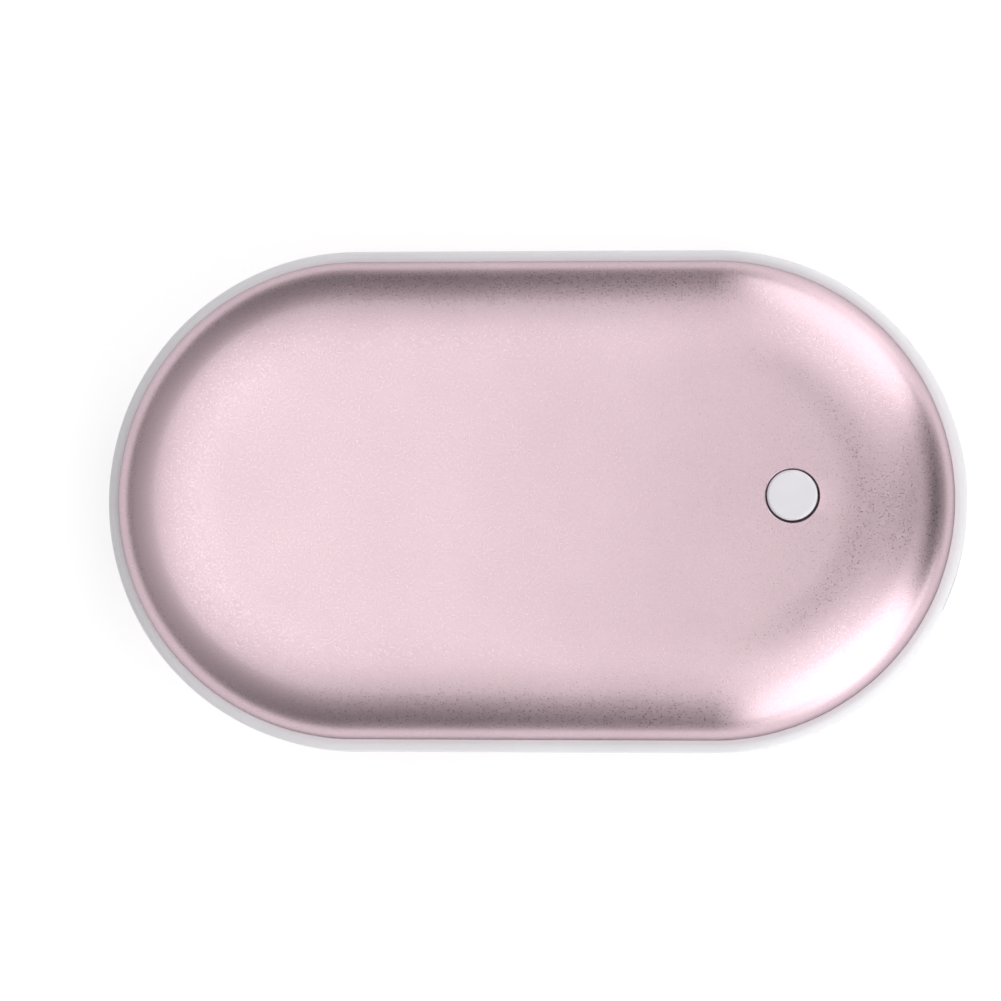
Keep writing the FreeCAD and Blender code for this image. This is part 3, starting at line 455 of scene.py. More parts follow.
hole_stations = [
    (frame_inner_radius - port_overrun, pip_hole_radius),
    (outer_radius - port_edge / 2, pip_hole_radius),
    (outer_radius + port_edge / 2, pip_hole_radius + port_edge),
]
lamp_cutter = pin("lamp_cutter", lamp_first_angle, hole_stations, white_abs)
lamp_cutters = repeated(lamp_cutter, lamp_count, lamp_turn, lamp_axis, white_abs)
usb_cutter = port_cutter("usb_cutter", usb_low.y, usb_low.z, usb_high.y, usb_top)
charge_cutter = port_cutter("charge_cutter", charge_low.y, charge_low.z, charge_high.y, charge_high.z)
cut_away(mid_frame, [usb_cutter, charge_cutter, lamp_cutters])

# Four bosses on the frame's inside take the screws of the cell tray.
boss_radius = 1.8 * mm
boss_height = 3.6 * mm
tray_flange_thickness = 1.2 * mm
boss_top = mid_z - tray_flange_thickness
pilot_radius = 0.88 * mm
screw_head_radius = 1.35 * mm
turn_steps = 94
screws_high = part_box("tray_screws")[1]
boss_x = screws_high.x - screw_head_radius
boss_y = screws_high.y - screw_head_radius


def slab(name, low, high, finish):
    """A block with slightly broken edges at its two ends along X."""
    stations = (
        (low.x, moulded_edge), (low.x + moulded_edge, 0),
        (high.x - moulded_edge, 0), (high.x, moulded_edge),
    )
    rings = []
    for x, inset in stations:
        outline = oblong(low.y + inset, low.z + inset, high.y - inset, high.z - inset, moulded_edge)
        rings.append([(x, y, z) for y, z in outline])
    return ringed(name, rings, finish)


def turned(name, points, closed, finish, axis):
    """A piece turned about an upright axis."""
    return swept(name, points, closed, finish, 0.0, axis, turn_steps)


boss_corners = [
    (pilot_radius, boss_top - boss_height, moulded_edge),
    (boss_radius, boss_top - boss_height, moulded_edge),
    (boss_radius, boss_top, moulded_edge),
    (pilot_radius, boss_top, moulded_edge),
]
web_start = boss_y + (pilot_radius + boss_radius) / 2
web_end = (frame_inner_radius + spigot_radius) / 2
bosses = []
for x in (-boss_x, boss_x):
    for side in (-1, 1):
        middle = (x, side * boss_y, 0)
        bosses.append(turned("boss", rounded(boss_corners, True), True, white_abs, middle))
        ends = sorted((side * web_start, side * web_end))
        low = Vector((x - boss_radius, ends[0], boss_top - boss_height))
        high = Vector((x + boss_radius, ends[1], boss_top))
        bosses.append(slab("web", low, high, white_abs))
joined_up(mid_frame, bosses)
hand_over(mid_frame, "housing", "mid_frame")

# Charge lamps
# Four small lamps on the board shine into one clear acrylic moulding behind the frame's wall. Its four
# pips fill the holes in the band, a little below its surface, and show as dots.
pipe_thickness = 1.1 * mm
pipe_wall_gap = 0.2 * mm
pipe_outer_radius = frame_inner_radius - pipe_wall_gap
pipe_inner_radius = pipe_outer_radius - pipe_thickness
pipe_end_length = 1.6 * mm
pipe_end_turn = pipe_end_length / outer_radius
pip_dome = 0.12 * mm
pip_shoulder_radius = pip_radius * math.cos(math.radians(30))
pip_tip_radius = pip_radius / 3
clear_plastic = plain_finish(
    "clear_plastic", dark=(0.90, 0.92, 0.94), light=(0.96, 0.97, 0.98), rough=(0.12, 0.22),
    cloud_size=even(1.5 * mm), grain_size=even(0.3 * mm),
    grain_depth=0.002 * mm, Transmission_Weight=0.85, IOR=1.49,
)
pipe_first = lamp_first_angle - pipe_end_turn
pipe_sweep = (lamp_count - 1) * lamp_turn + 2 * pipe_end_turn
pipe_rings = []
for i in range(circle_points + 1):
    turn = pipe_first + pipe_sweep * i / circle_points
    corners = [(pipe_inner_radius, lamp_low.z), (pipe_outer_radius, lamp_low.z),
               (pipe_outer_radius, lamp_high.z), (pipe_inner_radius, lamp_high.z)]
    pipe_rings.append([(end_centre_x + r * math.cos(turn), r * math.sin(turn), z) for r, z in corners])
pip_end = outer_radius - pip_recess
pip_stations = [
    (pipe_inner_radius + pipe_thickness / 2, pip_radius),
    (pip_end - pip_dome, pip_radius),
    (pip_end - pip_dome / 4, pip_shoulder_radius),
    (pip_end, pip_tip_radius),
]
pips = pin("pips", lamp_first_angle, pip_stations, clear_plastic)
pips = repeated(pips, lamp_count, lamp_turn, lamp_axis, clear_plastic)
light_pipe = joined_up(ringed("light_pipe_moulding", pipe_rings, clear_plastic), [pips])
hand_over(light_pipe, "housing", "light_pipe")
lamp_resin = plain_finish(
    "lamp_resin", dark=(0.80, 0.72, 0.38), light=(0.90, 0.86, 0.62), rough=(0.2, 0.3),
    cloud_size=even(0.5 * mm), grain_size=even(0.08 * mm), grain_depth=0.002 * mm,
)
paint(lamp_resin, "indicator_leds")

# Cell tray and cells
# A black moulding, screwed to the frame's bosses, holds two lithium cells side by side. Each cell is a
# steel can in a blue shrink sleeve, with bare ends, and welded nickel strips join the two.
tray_black = plain_finish(
    "tray_black", dark=(0.012, 0.012, 0.013), light=(0.024, 0.024, 0.026), rough=(0.42, 0.55),
    cloud_size=even(6 * mm), grain_size=even(0.15 * mm), grain_depth=0.004 * mm,
)
paint(tray_black, "battery_tray")
cell_low, cell_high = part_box("battery_cell_left")
steel_colour = (0.58, 0.57, 0.55)
sleeve_blue = (0.02, 0.11, 0.30)
sleeve_start = 0.006
sleeve_end = 0.978
worn_shade = 0.82


def along_axis(tree, place, axis, low, high):
    """How far along an axis a place lies, from 0 to 1."""
    parts = add_node(tree, "ShaderNodeSeparateXYZ")
    tree.links.new(place, parts.inputs["Vector"])
    return value_by(tree, parts.outputs[axis], 0, 1, low, high)


def greys(levels):
    """Colour stops from pairs of a position and a grey level."""
    return [(position, even(level)) for position, level in levels]


def banded_finish(name, axis, low, high, bands, rough, grain_size, grain_depth):
    """A surface in bands along an axis, each with its start, its colour and how far it is metal."""
    finish, tree, shader, place = start_material(name)
    share = along_axis(tree, place, axis, low, high)
    tone = cloud(tree, place, grain_size)
    shade = colour_by(tree, tone, greys([(cloud_low, worn_shade), (cloud_high, 1)]))
    tinted = add_node(tree, "ShaderNodeMix", {"Factor": 1}, data_type="RGBA", blend_type="MULTIPLY")
    colour = colour_by(tree, share, [(start, colour) for start, colour, metal in bands], "CONSTANT")
    tree.links.new(colour, tinted.inputs["A"])
    tree.links.new(shade, tinted.inputs["B"])
    tree.links.new(tinted.outputs["Result"], shader.inputs["Base Color"])
    metal = colour_by(tree, share, greys([(start, metal) for start, colour, metal in bands]), "CONSTANT")
    tree.links.new(metal, shader.inputs["Metallic"])
    tree.links.new(value_by(tree, tone, *rough), shader.inputs["Roughness"])
    relief(tree, shader, tone, grain_depth)
    return finish


sleeve_bands = [(0, steel_colour, 1), (sleeve_start, sleeve_blue, 0), (sleeve_end, steel_colour, 1)]
cell_sleeve = banded_finish(
    "cell_sleeve", "X", cell_low.x, cell_high.x, sleeve_bands,
    rough=(0.22, 0.36), grain_size=(0.7 * mm, 5 * mm, 5 * mm), grain_depth=0.012 * mm,
)
paint(cell_sleeve, "battery_cell_left", "battery_cell_right")
nickel = plain_finish(
    "nickel", dark=(0.60, 0.58, 0.54), light=(0.70, 0.68, 0.64), rough=(0.25, 0.38),
    cloud_size=(2 * mm, 6 * mm, 2 * mm), grain_size=(0.05 * mm, 3 * mm, 0.05 * mm),
    grain_depth=0.003 * mm, Metallic=1,
)
paint(nickel, "nickel_strip_positive", "nickel_strip_negative")
fibre_grey = plain_finish(
    "fibre_grey", dark=(0.40, 0.42, 0.40), light=(0.60, 0.61, 0.58), rough=(0.75, 0.9),
    cloud_size=(0.9 * mm, 0.25 * mm, 0.4 * mm), grain_size=(0.6 * mm, 0.08 * mm, 0.08 * mm),
    grain_depth=0.03 * mm,
)
paint(fibre_grey, "cell_washers", "upper_insulation_board", "lower_insulation_board")
lead_black = plain_finish(
    "lead_black", dark=(0.012, 0.012, 0.012), light=(0.03, 0.03, 0.03), rough=(0.5, 0.62),
    cloud_size=even(3 * mm), grain_size=even(0.1 * mm), grain_depth=0.004 * mm,
)
paint(lead_black, "battery_lead_negative")
screw_steel = plain_finish(
    "screw_steel", dark=(0.45, 0.46, 0.48), light=(0.62, 0.62, 0.60), rough=(0.24, 0.36),
    cloud_size=even(0.6 * mm), grain_size=even(0.06 * mm), grain_depth=0.003 * mm, Metallic=1,
)
paint(screw_steel, "tray_screws", "board_screws")

# Circuit board
# A green glass-fibre board with copper tracks under its solder mask rests on the tray's two posts. It
# carries the chips, the inductor and the capacitors on top, and the sockets and lamps below.
mask_dark = (0.010, 0.085, 0.035, 1)
mask_light = (0.014, 0.105, 0.045, 1)
track_green = (0.05, 0.20, 0.07, 1)
track_width = 0.14 * mm
track_height = 0.02 * mm
track_softness = 0.1
track_pitch = 1.3 * mm
track_run = 3.1 * mm
weave_size = 0.4 * mm
mask_rough = (0.26, 0.40)
board_green, tree, shader, place = start_material("board_green")
tracks = add_node(tree, "ShaderNodeTexBrick", {
    "Scale": 1, "Mortar Size": track_width, "Mortar Smooth": track_softness,
    "Brick Width": track_run, "Row Height": track_pitch,
    "Color1": mask_dark, "Color2": mask_light, "Mortar": track_green,
})
tree.links.new(place, tracks.inputs["Vector"])
tree.links.new(tracks.outputs["Color"], shader.inputs["Base Color"])
weave = cloud(tree, place, even(weave_size))
tree.links.new(value_by(tree, weave, *mask_rough), shader.inputs["Roughness"])
relief(tree, shader, tracks.outputs["Fac"], track_height)
paint(board_green, "main_board")
leg_reach = 1 * mm
leg_tin = (0.70, 0.70, 0.68)
epoxy_black = (0.02, 0.02, 0.02)


def chip_finish(node):
    """Black epoxy with a bright leg row on either side."""
    low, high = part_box(node)
    leg_share = leg_reach / (high.y - low.y)
    bands = [(0, leg_tin, 1), (leg_share, epoxy_black, 0), (1 - leg_share, leg_tin, 1)]
    return banded_finish(
        node + "_finish", "Y", low.y, high.y, bands,
        rough=(0.45, 0.6), grain_size=even(0.12 * mm), grain_depth=0.006 * mm,
    )


for node in ("control_chip", "charger_chip"):
    paint(chip_finish(node), node)
ferrite_grey = plain_finish(
    "ferrite_grey", dark=(0.07, 0.07, 0.075), light=(0.16, 0.16, 0.165), rough=(0.5, 0.7),
    cloud_size=even(0.25 * mm), grain_size=even(0.1 * mm), grain_depth=0.012 * mm,
)
paint(ferrite_grey, "power_inductor")
capacitor_low, capacitor_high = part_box("board_capacitors")
capacitor_end_share = 0.2
capacitor_tin = (0.72, 0.72, 0.70)
capacitor_brown = (0.42, 0.29, 0.16)
capacitor_bands = [
    (0, capacitor_tin, 1), (capacitor_end_share, capacitor_brown, 0),
    (1 - capacitor_end_share, capacitor_tin, 1),
]
capacitor_tan = banded_finish(
    "capacitor_tan", "X", capacitor_low.x, capacitor_high.x, capacitor_bands,
    rough=(0.35, 0.5), grain_size=even(0.15 * mm), grain_depth=0.005 * mm,
)
paint(capacitor_tan, "board_capacitors")

# Sockets
# The power output is a nickel-plated steel box, folded from sheet, with two sprung fingers in its floor,
# and a white tongue with gold contacts. The charging inlet beside it is a smaller one with a black tongue.
socket_wall = 0.3 * mm
socket_edge = 0.08 * mm
usb_corner_radius = 0.5 * mm
usb_leg_setbacks = (6.6 * mm, 11.2 * mm)
usb_leg_width = 2 * mm
finger_width = 1.7 * mm
finger_offset = 3.3 * mm
finger_length = 5 * mm
finger_rise = 0.35 * mm
finger_setback = 1.2 * mm
finger_steps = 12
charge_corner_radius = 0.3 * mm
charge_chamfer = 0.9 * mm
socket_steel = plain_finish(
    "socket_steel", dark=(0.60, 0.60, 0.59), light=(0.70, 0.70, 0.68), rough=(0.20, 0.30),
    cloud_size=even(1.5 * mm), grain_size=(2.5 * mm, 0.05 * mm, 0.05 * mm),
    grain_depth=0.0025 * mm, Metallic=1,
)


def folded_box(name, outline, back, front):
    """A box folded from sheet and open at the front. outline gives its section at an inset."""
    stations = (
        (back, 0), (front - socket_edge, 0), (front, socket_edge),
        (front, socket_wall - socket_edge), (front - socket_edge, socket_wall),
        (back + socket_wall, socket_wall),
    )
    rings = [[(x, y, z) for y, z in outline(inset)] for x, inset in stations]
    return ringed(name, rings, socket_steel)


def usb_outline(inset):
    """The output's section at an inset: an oblong with tight corners."""
    corner = usb_corner_radius - inset
    return oblong(usb_low.y + inset, usb_low.z + inset, usb_high.y - inset, usb_top - inset, corner)


def finger(name, middle_y):
    """A sprung finger that bows up from the socket's floor."""
    sheet_top = usb_low.z + socket_wall
    root = sheet_top - socket_edge
    y0, y1 = middle_y - finger_width / 2, middle_y + finger_width / 2
    rings = []
    for i in range(finger_steps + 1):
        share = i / finger_steps
        x = usb_high.x - finger_setback - finger_length * (1 - share)
        z = sheet_top + finger_rise * math.sin(math.pi * share) ** 2
        rings.append([(x, y0, root), (x, y1, root), (x, y1, z), (x, y0, z)])
    return ringed(name, rings, socket_steel)


usb_y = (usb_low.y + usb_high.y) / 2
usb_parts = [finger("finger", usb_y + side * finger_offset) for side in (1, -1)]
for setback in usb_leg_setbacks:
    x = usb_high.x - setback
    for y in (usb_low.y, usb_high.y - socket_wall):
        low = Vector((x - usb_leg_width / 2, y, usb_top - socket_wall))
        high = Vector((x + usb_leg_width / 2, y + socket_wall, usb_high.z))
        usb_parts.append(slab("leg", low, high, socket_steel))
usb_shell = joined_up(folded_box("usb_socket_shell", usb_outline, usb_low.x, usb_high.x), usb_parts)
hand_over(usb_shell, "housing", "usb_output_shell")

charge_y = (charge_low.y + charge_high.y) / 2


def charge_outline(inset):
    """The inlet's section at an inset: narrower below, so that a plug goes in one way up."""
    half = charge_high.y - charge_y - inset
    top, bottom = charge_high.z - inset, charge_low.z + inset
    corner = charge_corner_radius - inset / 2
    corners = [(half, top), (half, bottom + charge_chamfer), (half - charge_chamfer, bottom)]
    corners += [(-y, z) for y, z in reversed(corners)]
    return rounded([(charge_y + y, z, corner) for y, z in corners], True)


charge_shell = folded_box("charge_socket_shell", charge_outline, charge_low.x, charge_high.x)
hand_over(charge_shell, "housing", "charge_port_shell")

socket_white = plain_finish(
    "socket_white", dark=(0.70, 0.70, 0.68), light=(0.78, 0.78, 0.75), rough=(0.45, 0.55),
    cloud_size=even(3 * mm), grain_size=even(0.1 * mm), grain_depth=0.003 * mm,
)
tongue_low, tongue_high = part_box("usb_output_tongue")
contact_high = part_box("usb_output_contacts")[1]
tongue_half_width = 5.5 * mm
tongue_thickness = 1.85 * mm
tongue_block_depth = 4 * mm
block_end = tongue_low.x + tongue_block_depth
block_high = Vector((block_end, tongue_high.y, tongue_high.z))
tongue_bottom = contact_high.z
tongue_start = Vector((block_end, usb_y - tongue_half_width, tongue_bottom))
tongue_end = Vector((tongue_high.x, usb_y + tongue_half_width, tongue_bottom + tongue_thickness))
usb_tongue = joined_up(
    slab("usb_socket_tongue", tongue_low, block_high, socket_white),
    [slab("tongue", tongue_start, tongue_end, socket_white)],
)
hand_over(usb_tongue, "housing", "usb_output_tongue")
socket_black = plain_finish(
    "socket_black", dark=(0.014, 0.014, 0.014), light=(0.028, 0.028, 0.028), rough=(0.4, 0.5),
    cloud_size=even(2 * mm), grain_size=even(0.08 * mm), grain_depth=0.003 * mm,
)
paint(socket_black, "charge_port_tongue")
contact_gold = plain_finish(
    "contact_gold", dark=(0.78, 0.55, 0.20), light=(0.88, 0.66, 0.30), rough=(0.18, 0.28),
    cloud_size=even(1 * mm), grain_size=(2 * mm, 0.04 * mm, 0.04 * mm),
    grain_depth=0.002 * mm, Metallic=1,
)
paint(contact_gold, "usb_output_contacts", "charge_port_contacts")

# Switch
# A tactile switch on the board: a black base with four legs, a steel dome in its well, a plunger on the
# dome and a steel cover that keeps the plunger in.
switch_black = plain_finish(
    "switch_black", dark=(0.014, 0.014, 0.015), light=(0.03, 0.03, 0.032), rough=(0.4, 0.52),
    cloud_size=even(2 * mm), grain_size=even(0.1 * mm), grain_depth=0.004 * mm,
)
paint(switch_black, "switch_base", "switch_plunger")
switch_steel = plain_finish(
    "switch_steel", dark=(0.55, 0.55, 0.54), light=(0.68, 0.68, 0.66), rough=(0.22, 0.34),
    cloud_size=even(1 * mm), grain_size=(1.5 * mm, 0.05 * mm, 0.05 * mm),
    grain_depth=0.003 * mm, Metallic=1,
)
paint(switch_steel, "switch_cover")
dome_low, dome_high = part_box("switch_dome")
dome_axis = ((dome_low.x + dome_high.x) / 2, 0, 0)
dome_radius = (dome_high.x - dome_low.x) / 2
dome_rise = dome_high.z - dome_low.z
dome_thickness = 0.1 * mm
dome_steps = 10


def dome_points():
    """The dome's section, out along its top and back along its underside."""
    ball_radius = (dome_radius ** 2 + dome_rise ** 2) / (2 * dome_rise)
    ball_z = dome_high.z - ball_radius
    sides = []
    for radius in (ball_radius, ball_radius - dome_thickness):
        edge_turn = math.acos((dome_low.z - ball_z) / radius)
        turns = [edge_turn * i / dome_steps for i in range(dome_steps + 1)]
        sides.append([(radius * math.sin(turn), ball_z + radius * math.cos(turn)) for turn in turns])
    return sides[0] + sides[1][::-1]


switch_dome = turned("sprung_dome", dome_points(), False, switch_steel, dome_axis)
hand_over(switch_dome, "housing", "switch_dome")
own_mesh(switch_dome)

# Heaters
# A polyimide film with an etched foil track is stuck under each shell. Red silicone wires take it to the
# board, and a bead thermistor on the upper film senses its heat.
film_amber = plain_finish(
    "film_amber", dark=(0.48, 0.20, 0.03), light=(0.62, 0.30, 0.06), rough=(0.16, 0.28),
    cloud_size=even(7 * mm), grain_size=(9 * mm, 0.12 * mm, 0.12 * mm),
    grain_depth=0.004 * mm, Coat_Weight=0.4,
)
paint(film_amber, "upper_heater_film", "lower_heater_film")
heating_foil = plain_finish(
    "heating_foil", dark=(0.55, 0.32, 0.18), light=(0.74, 0.48, 0.32), rough=(0.28, 0.42),
    cloud_size=even(5 * mm), grain_size=(3 * mm, 0.06 * mm, 0.06 * mm),
    grain_depth=0.003 * mm, Metallic=1,
)
paint(heating_foil, "upper_heater_trace", "lower_heater_trace")
lead_red = plain_finish(
    "lead_red", dark=(0.34, 0.012, 0.012), light=(0.46, 0.022, 0.020), rough=(0.5, 0.62),
    cloud_size=even(3 * mm), grain_size=even(0.1 * mm), grain_depth=0.004 * mm,
)
paint(lead_red, "upper_heater_leads", "lower_heater_leads")
bead_low, bead_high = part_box("thermistor")
bead_brown = (0.03, 0.022, 0.018)
bead_wire = (0.72, 0.70, 0.66)
bead_share = 0.4
bead_resin = banded_finish(
    "bead_resin", "X", bead_low.x, bead_high.x, [(0, bead_brown, 0), (bead_share, bead_wire, 1)],
    rough=(0.2, 0.35), grain_size=even(0.3 * mm), grain_depth=0.01 * mm,
)
paint(bead_resin, "thermistor")

# Shells
# Each face is one pressing in 0.8 mm aluminium, bead-blasted and anodised in rose. Its rim is bonded into
# the frame's groove with a bead of glue. The upper one has the button's hole, whose edge is broken.
shell_flat_half_width = 15 * mm
shell_crown_radius = 40 * mm
shell_lip_height = 0.35 * mm
button_low, button_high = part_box("power_button")
button_axis = ((button_low.x + button_high.x) / 2, 0, 0)
button_hole_radius = 3.14 * mm
hole_edge = 0.14 * mm
shell_glue = plain_finish(
    "shell_glue", dark=(0.62, 0.60, 0.54), light=(0.74, 0.73, 0.68), rough=(0.25, 0.4),
    cloud_size=even(2 * mm), grain_size=even(0.5 * mm), grain_depth=0.03 * mm,
)
paint(shell_glue, "upper_shell_adhesive", "lower_shell_adhesive")


def shell_points():
    """The upper shell's section, from the edge of its flat out to its rim and back along the inside."""
    reach = rim_radius - shell_flat_half_width
    rise = shell_crown_radius - (body_thickness - band_top - shell_lip_height)
    shoulder = (shell_crown_radius ** 2 - reach ** 2 - rise ** 2) / (2 * (shell_crown_radius - reach))
    lean = math.atan2(reach - shoulder, rise)
    bend = (math.pi / 2 - lean) / 2
    walls = []
    for inset in (0, shell_wall):
        crown = shell_crown_radius - inset
        crown_corner = shell_flat_half_width + crown * math.tan(lean / 2)
        shoulder_z = band_top + shell_lip_height + (shoulder - inset) * math.tan(bend)
        walls.append([
            (0, body_thickness - inset, 0),
            (crown_corner, body_thickness - inset, crown),
            (rim_radius - inset, shoulder_z, shoulder - inset),
            (rim_radius - inset, shell_low.z, moulded_edge),
        ])
    return rounded(walls[0] + walls[1][::-1], False)[1:-1]


def with_flats(piece, others):
    """Joins open pieces and fills the level areas between their open edges."""
    shape = bmesh.new()
    for part in [piece] + others:
        shape.from_mesh(part.data)
    open_edges = [edge for edge in shape.edges if edge.is_boundary]
    for inside in (False, True):
        level = []
        for edge in open_edges:
            height = abs(edge.verts[0].co.z - mid_z)
            if (height < mid_z - shell_wall / 2) == inside:
                level.append(edge)
        bmesh.ops.triangle_fill(shape, edges=level, use_beauty=True)
    shape.to_mesh(piece.data)
    shape.free()
    for part in others:
        bpy.data.objects.remove(part)
    return settled(piece)


rose_dark = (0.72, 0.545, 0.60)
rose_light = (0.76, 0.58, 0.635)
tint_size = even(14 * mm)
blast_size = even(0.22 * mm)
blast_depth = 0.008 * mm
blast_rough = (0.25, 0.40)
edge_tint = (0.6, 0.6, 0.6, 1)
rose_aluminium, tree, shader, place = start_material(
    "rose_aluminium", Metallic=1, Specular_Tint=edge_tint,
)
tint = cloud(tree, place, tint_size)
rose = colour_by(tree, tint, [(cloud_low, rose_dark), (cloud_high, rose_light)])
tree.links.new(rose, shader.inputs["Base Color"])
blast = cloud(tree, place, blast_size)
tree.links.new(value_by(tree, blast, *blast_rough), shader.inputs["Roughness"])
relief(tree, shader, blast, blast_depth)
upper_section = shell_points()
lower_section = [(r, body_thickness - z) for r, z in upper_section]
bottom_shell = with_flats(swept("lower_shell", lower_section, False, rose_aluminium, end_centre_x), [])
hand_over(bottom_shell, "housing", "bottom_shell")
hole_corners = [
    (2 * button_hole_radius, body_thickness, 0),
    (button_hole_radius, body_thickness, hole_edge),
    (button_hole_radius, body_thickness - shell_wall, 0),
]
hole_points = rounded(hole_corners, False)[1:]
hole = turned("hole", hole_points, False, rose_aluminium, button_axis)
top_shell = with_flats(swept("upper_shell", upper_section, False, rose_aluminium, end_centre_x), [hole])
hand_over(top_shell, "housing", "top_shell")

# Button
# The cap is a white moulding with a low crown, a flange under the shell that keeps it in, and a stem that
# presses the switch. A black collar, bonded under the shell, guides it with some play, so that it rests a
# little off the middle of its hole.
button_radius = 2.95 * mm
button_edge = 0.4 * mm
button_crown = 0.12 * mm
crown_steps = 8
button_flange_radius = (button_high.x - button_low.x) / 2
button_flange_top = 22.0 * mm
button_flange_bottom = 21.2 * mm
button_stem_radius = 1.5 * mm
cap_play = Vector((-0.055 * mm, 0.07 * mm, 0))
cap_axis = tuple(Vector(button_axis) + cap_play)
collar_black = plain_finish(
    "collar_black", dark=(0.010, 0.010, 0.011), light=(0.02, 0.02, 0.021), rough=(0.45, 0.55),
    cloud_size=even(2 * mm), grain_size=even(0.12 * mm), grain_depth=0.004 * mm,
)
paint(collar_black, "button_collar")
button_white = plain_finish(
    "button_white", dark=(0.765, 0.745, 0.785), light=(0.795, 0.775, 0.815), rough=(0.22, 0.27),
    cloud_size=even(3 * mm), grain_size=even(0.1 * mm), grain_depth=0.0015 * mm,
)
button_corners = []
for i in range(crown_steps):
    share = i / crown_steps
    button_corners.append((button_radius * share, button_high.z - button_crown * share ** 2, 0))
button_corners += [
    (button_radius, button_high.z - button_crown, button_edge),
    (button_radius, button_flange_top, moulded_edge),
    (button_flange_radius, button_flange_top, moulded_edge),
    (button_flange_radius, button_flange_bottom, moulded_edge),
    (button_stem_radius, button_flange_bottom, moulded_edge),
    (button_stem_radius, button_low.z, moulded_edge),
    (0, button_low.z, 0),
]
power_button = turned("button_cap", rounded(button_corners, False), False, button_white, cap_axis)
hand_over(power_button, "button", "power_button")

# Floor, light and camera
# A grey sheet with a painted pool of light: it glows white round the object, and its colour darkens
# further out as painted shade, into a grey room. A large softbox hangs overhead and towards the far end.
# At the button end stand two upright softboxes with a gap between them, each with a lamp on the floor.
floor_half = 2.0
floor_z = -0.02 * mm
floor_mesh = bpy.data.meshes.new("floor")
floor_signs = ((-1, -1), (1, -1), (1, 1), (-1, 1))
floor_corners = [(x * floor_half, y * floor_half, floor_z) for x, y in floor_signs]
floor_mesh.from_pydata(floor_corners, [], [(0, 1, 2, 3)])
floor = as_object("floor", floor_mesh)
paper_rough = 0.9
painted_pool_glow = 0.62
paper_white = (1, 1, 1, 1)
paper_grey = 0.5
far_painted_shade = 0.28
floor_paper, tree, shader, place = start_material(
    "floor_paper", Roughness=paper_rough, Emission_Color=paper_white,
)
pad_middle = (-0.018, 0, 0)
pad_half = (0.089, 0.065, 1)
pad_fade = 1.35
centred = add_node(tree, "ShaderNodeVectorMath", {1: pad_middle}, operation="SUBTRACT")
shared = add_node(tree, "ShaderNodeVectorMath", {1: pad_half}, operation="DIVIDE")
reach = add_node(tree, "ShaderNodeVectorMath", operation="ABSOLUTE")
sides = add_node(tree, "ShaderNodeSeparateXYZ")
away = add_node(tree, "ShaderNodeMath", operation="MAXIMUM")
source = place
for target in (centred, shared, reach, sides):
    tree.links.new(source, target.inputs[0])
    source = target.outputs[0]
for i, axis in enumerate("XY"):
    tree.links.new(sides.outputs[axis], away.inputs[i])
# Painted pool of light: the sheet glows white over the pad round the object and fades out beyond it.
glow = value_by(tree, away.outputs["Value"], painted_pool_glow, 0, 1, pad_fade)
tree.links.new(glow, shader.inputs["Emission Strength"])
# Painted shade: the sheet's colour darkens from its grey near the object to a darker grey far off.
painted_falloff = value_by(tree, away.outputs["Value"], 0, 1, 1, pad_fade)
paper = colour_by(tree, painted_falloff, greys([(0, paper_grey), (1, far_painted_shade)]))
tree.links.new(paper, shader.inputs["Base Color"])
floor_mesh.materials.append(floor_paper)
low_lamp_height = 1 * mm


def softbox(name, middle, turn, width, height, radiance):
    """A rectangular lamp of a given brightness. Unturned, it shines down."""
    lamp = bpy.data.lights.new(name, "AREA")
    lamp.shape = "RECTANGLE"
    lamp.size = width
    lamp.size_y = height
    lamp.energy = radiance * math.pi * width * height
    holder = as_object(name, lamp)
    holder.location = middle
    holder.rotation_euler = turn


def upright_softbox(name, compass, distance, width, height, radiance):
    """A lamp that stands on the floor and faces the object from a compass angle."""
    angle = math.radians(compass)
    middle = (distance * math.cos(angle), distance * math.sin(angle), height / 2)
    softbox(name, middle, (math.pi / 2, 0, angle + math.pi / 2), width, height, radiance)


def low_softbox(name, compass, near, far, width, radiance):
    """A lamp that lies on the floor in front of an upright one and shines up."""
    angle = math.radians(compass)
    distance = (near + far) / 2
    middle = (distance * math.cos(angle), distance * math.sin(angle), low_lamp_height)
    softbox(name, middle, (math.pi, 0, angle), far - near, width, radiance)


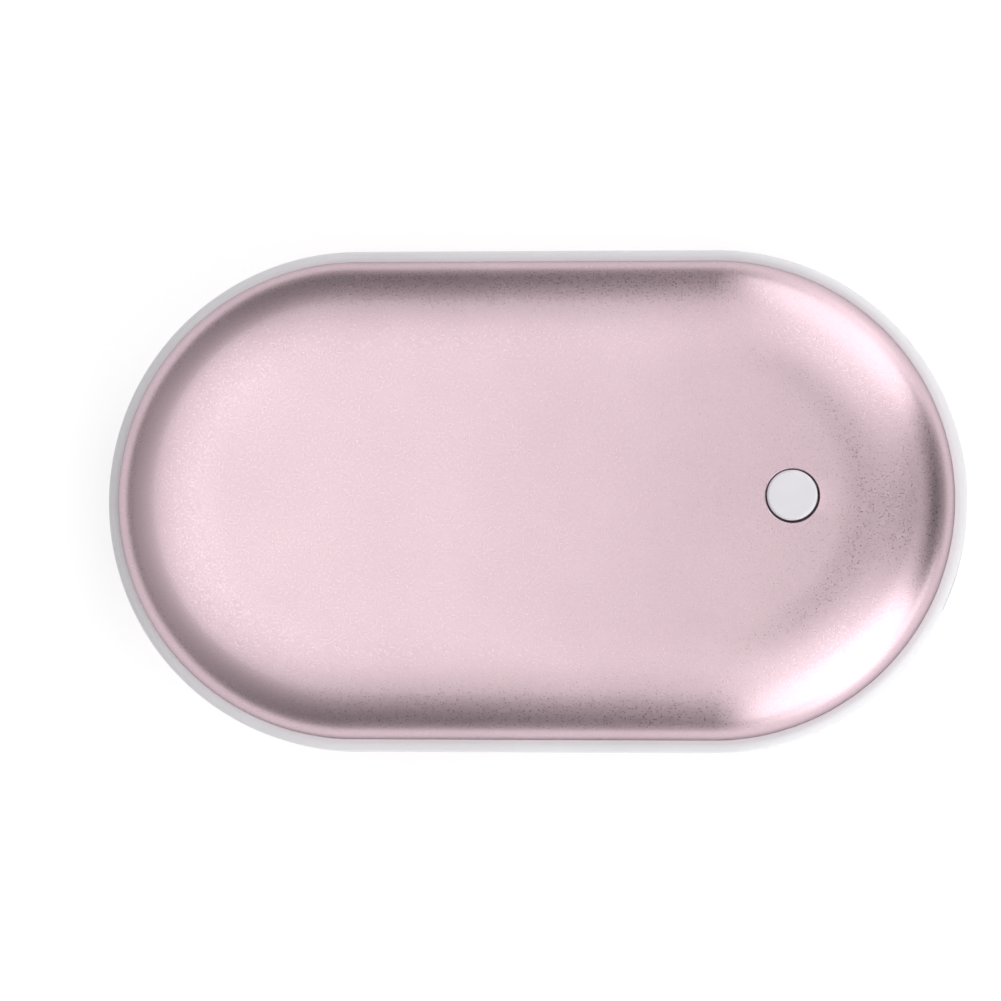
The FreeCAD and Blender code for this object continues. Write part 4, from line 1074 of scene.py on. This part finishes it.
softbox(
    "overhead", middle=(-0.196, 0.05, 0.65), turn=(0, 0, 0),
    width=0.392, height=0.5, radiance=0.94,
)
upright_softbox("lower_right", compass=-52, distance=0.35, width=0.39, height=1.75, radiance=1.9)
upright_softbox("upper_right", compass=55, distance=0.35, width=0.36, height=1.32, radiance=1.6)
low_softbox("lower_right_foot", compass=-43, near=0.085, far=0.36, width=0.12, radiance=1.45)
low_softbox("upper_right_foot", compass=47, near=0.085, far=0.36, width=0.1, radiance=0.85)

# The room's grey level, from the far end to the button's end, and its brightness with height.
wall_levels = [
    (0, 0.62), (0.1, 0.52), (0.3, 0.31), (0.455, 0.25), (0.52, 0.025), (0.75, 0.085),
    (0.85, 0.41), (0.95, 0.43), (0.983, 0.12), (1, 0.03),
]
height_levels = [(0, 0.33), (0.42, 0.42), (0.64, 0.6), (0.77, 0.78), (0.9, 1)]
room_brightness = 2.0
world = bpy.data.worlds.new("room")
world.use_nodes = True
tree = world.node_tree
backdrop = tree.nodes["Background"]
around = add_node(tree, "ShaderNodeTexCoord").outputs["Generated"]
across = along_axis(tree, around, "X", -1, 1)
tree.links.new(colour_by(tree, across, greys(wall_levels)), backdrop.inputs["Color"])
upwards = along_axis(tree, around, "Z", 0, 1)
strength = add_node(tree, "ShaderNodeMath", {1: room_brightness}, operation="MULTIPLY")
tree.links.new(colour_by(tree, upwards, greys(height_levels)), strength.inputs[0])
tree.links.new(strength.outputs["Value"], backdrop.inputs["Strength"])
bpy.context.scene.world = world
bpy.context.scene.view_settings.view_transform = "Standard"

# The camera looks down at the photograph's angle, a little from the button's end.
camera_tilt_x = math.radians(4.954)
camera_tilt_y = math.radians(3.616)
camera_roll = math.radians(0.31)
camera_distance = 0.6
photo_width = 1001
focal_pixels = 5044.2
sensor_width = 36
aim_offset = Vector((-4.368 * mm, 0.217 * mm, 0))
object_middle = Vector((0, 0, mid_z))
leaning = Vector((math.tan(camera_tilt_x), -math.tan(camera_tilt_y), 1)).normalized()
seat = object_middle + leaning * camera_distance
back = (seat - object_middle - aim_offset).normalized()
right = Vector((0, 1, 0)).cross(back).normalized()
facing = Matrix((right, back.cross(right), back)).transposed().to_4x4()
lens = bpy.data.cameras.new("camera")
lens.sensor_width = sensor_width
lens.lens = focal_pixels / photo_width * sensor_width
camera = as_object("camera", lens)
camera.matrix_world = Matrix.Translation(seat) @ facing @ Matrix.Rotation(camera_roll, 4, "Z")
bpy.context.scene.camera = camera
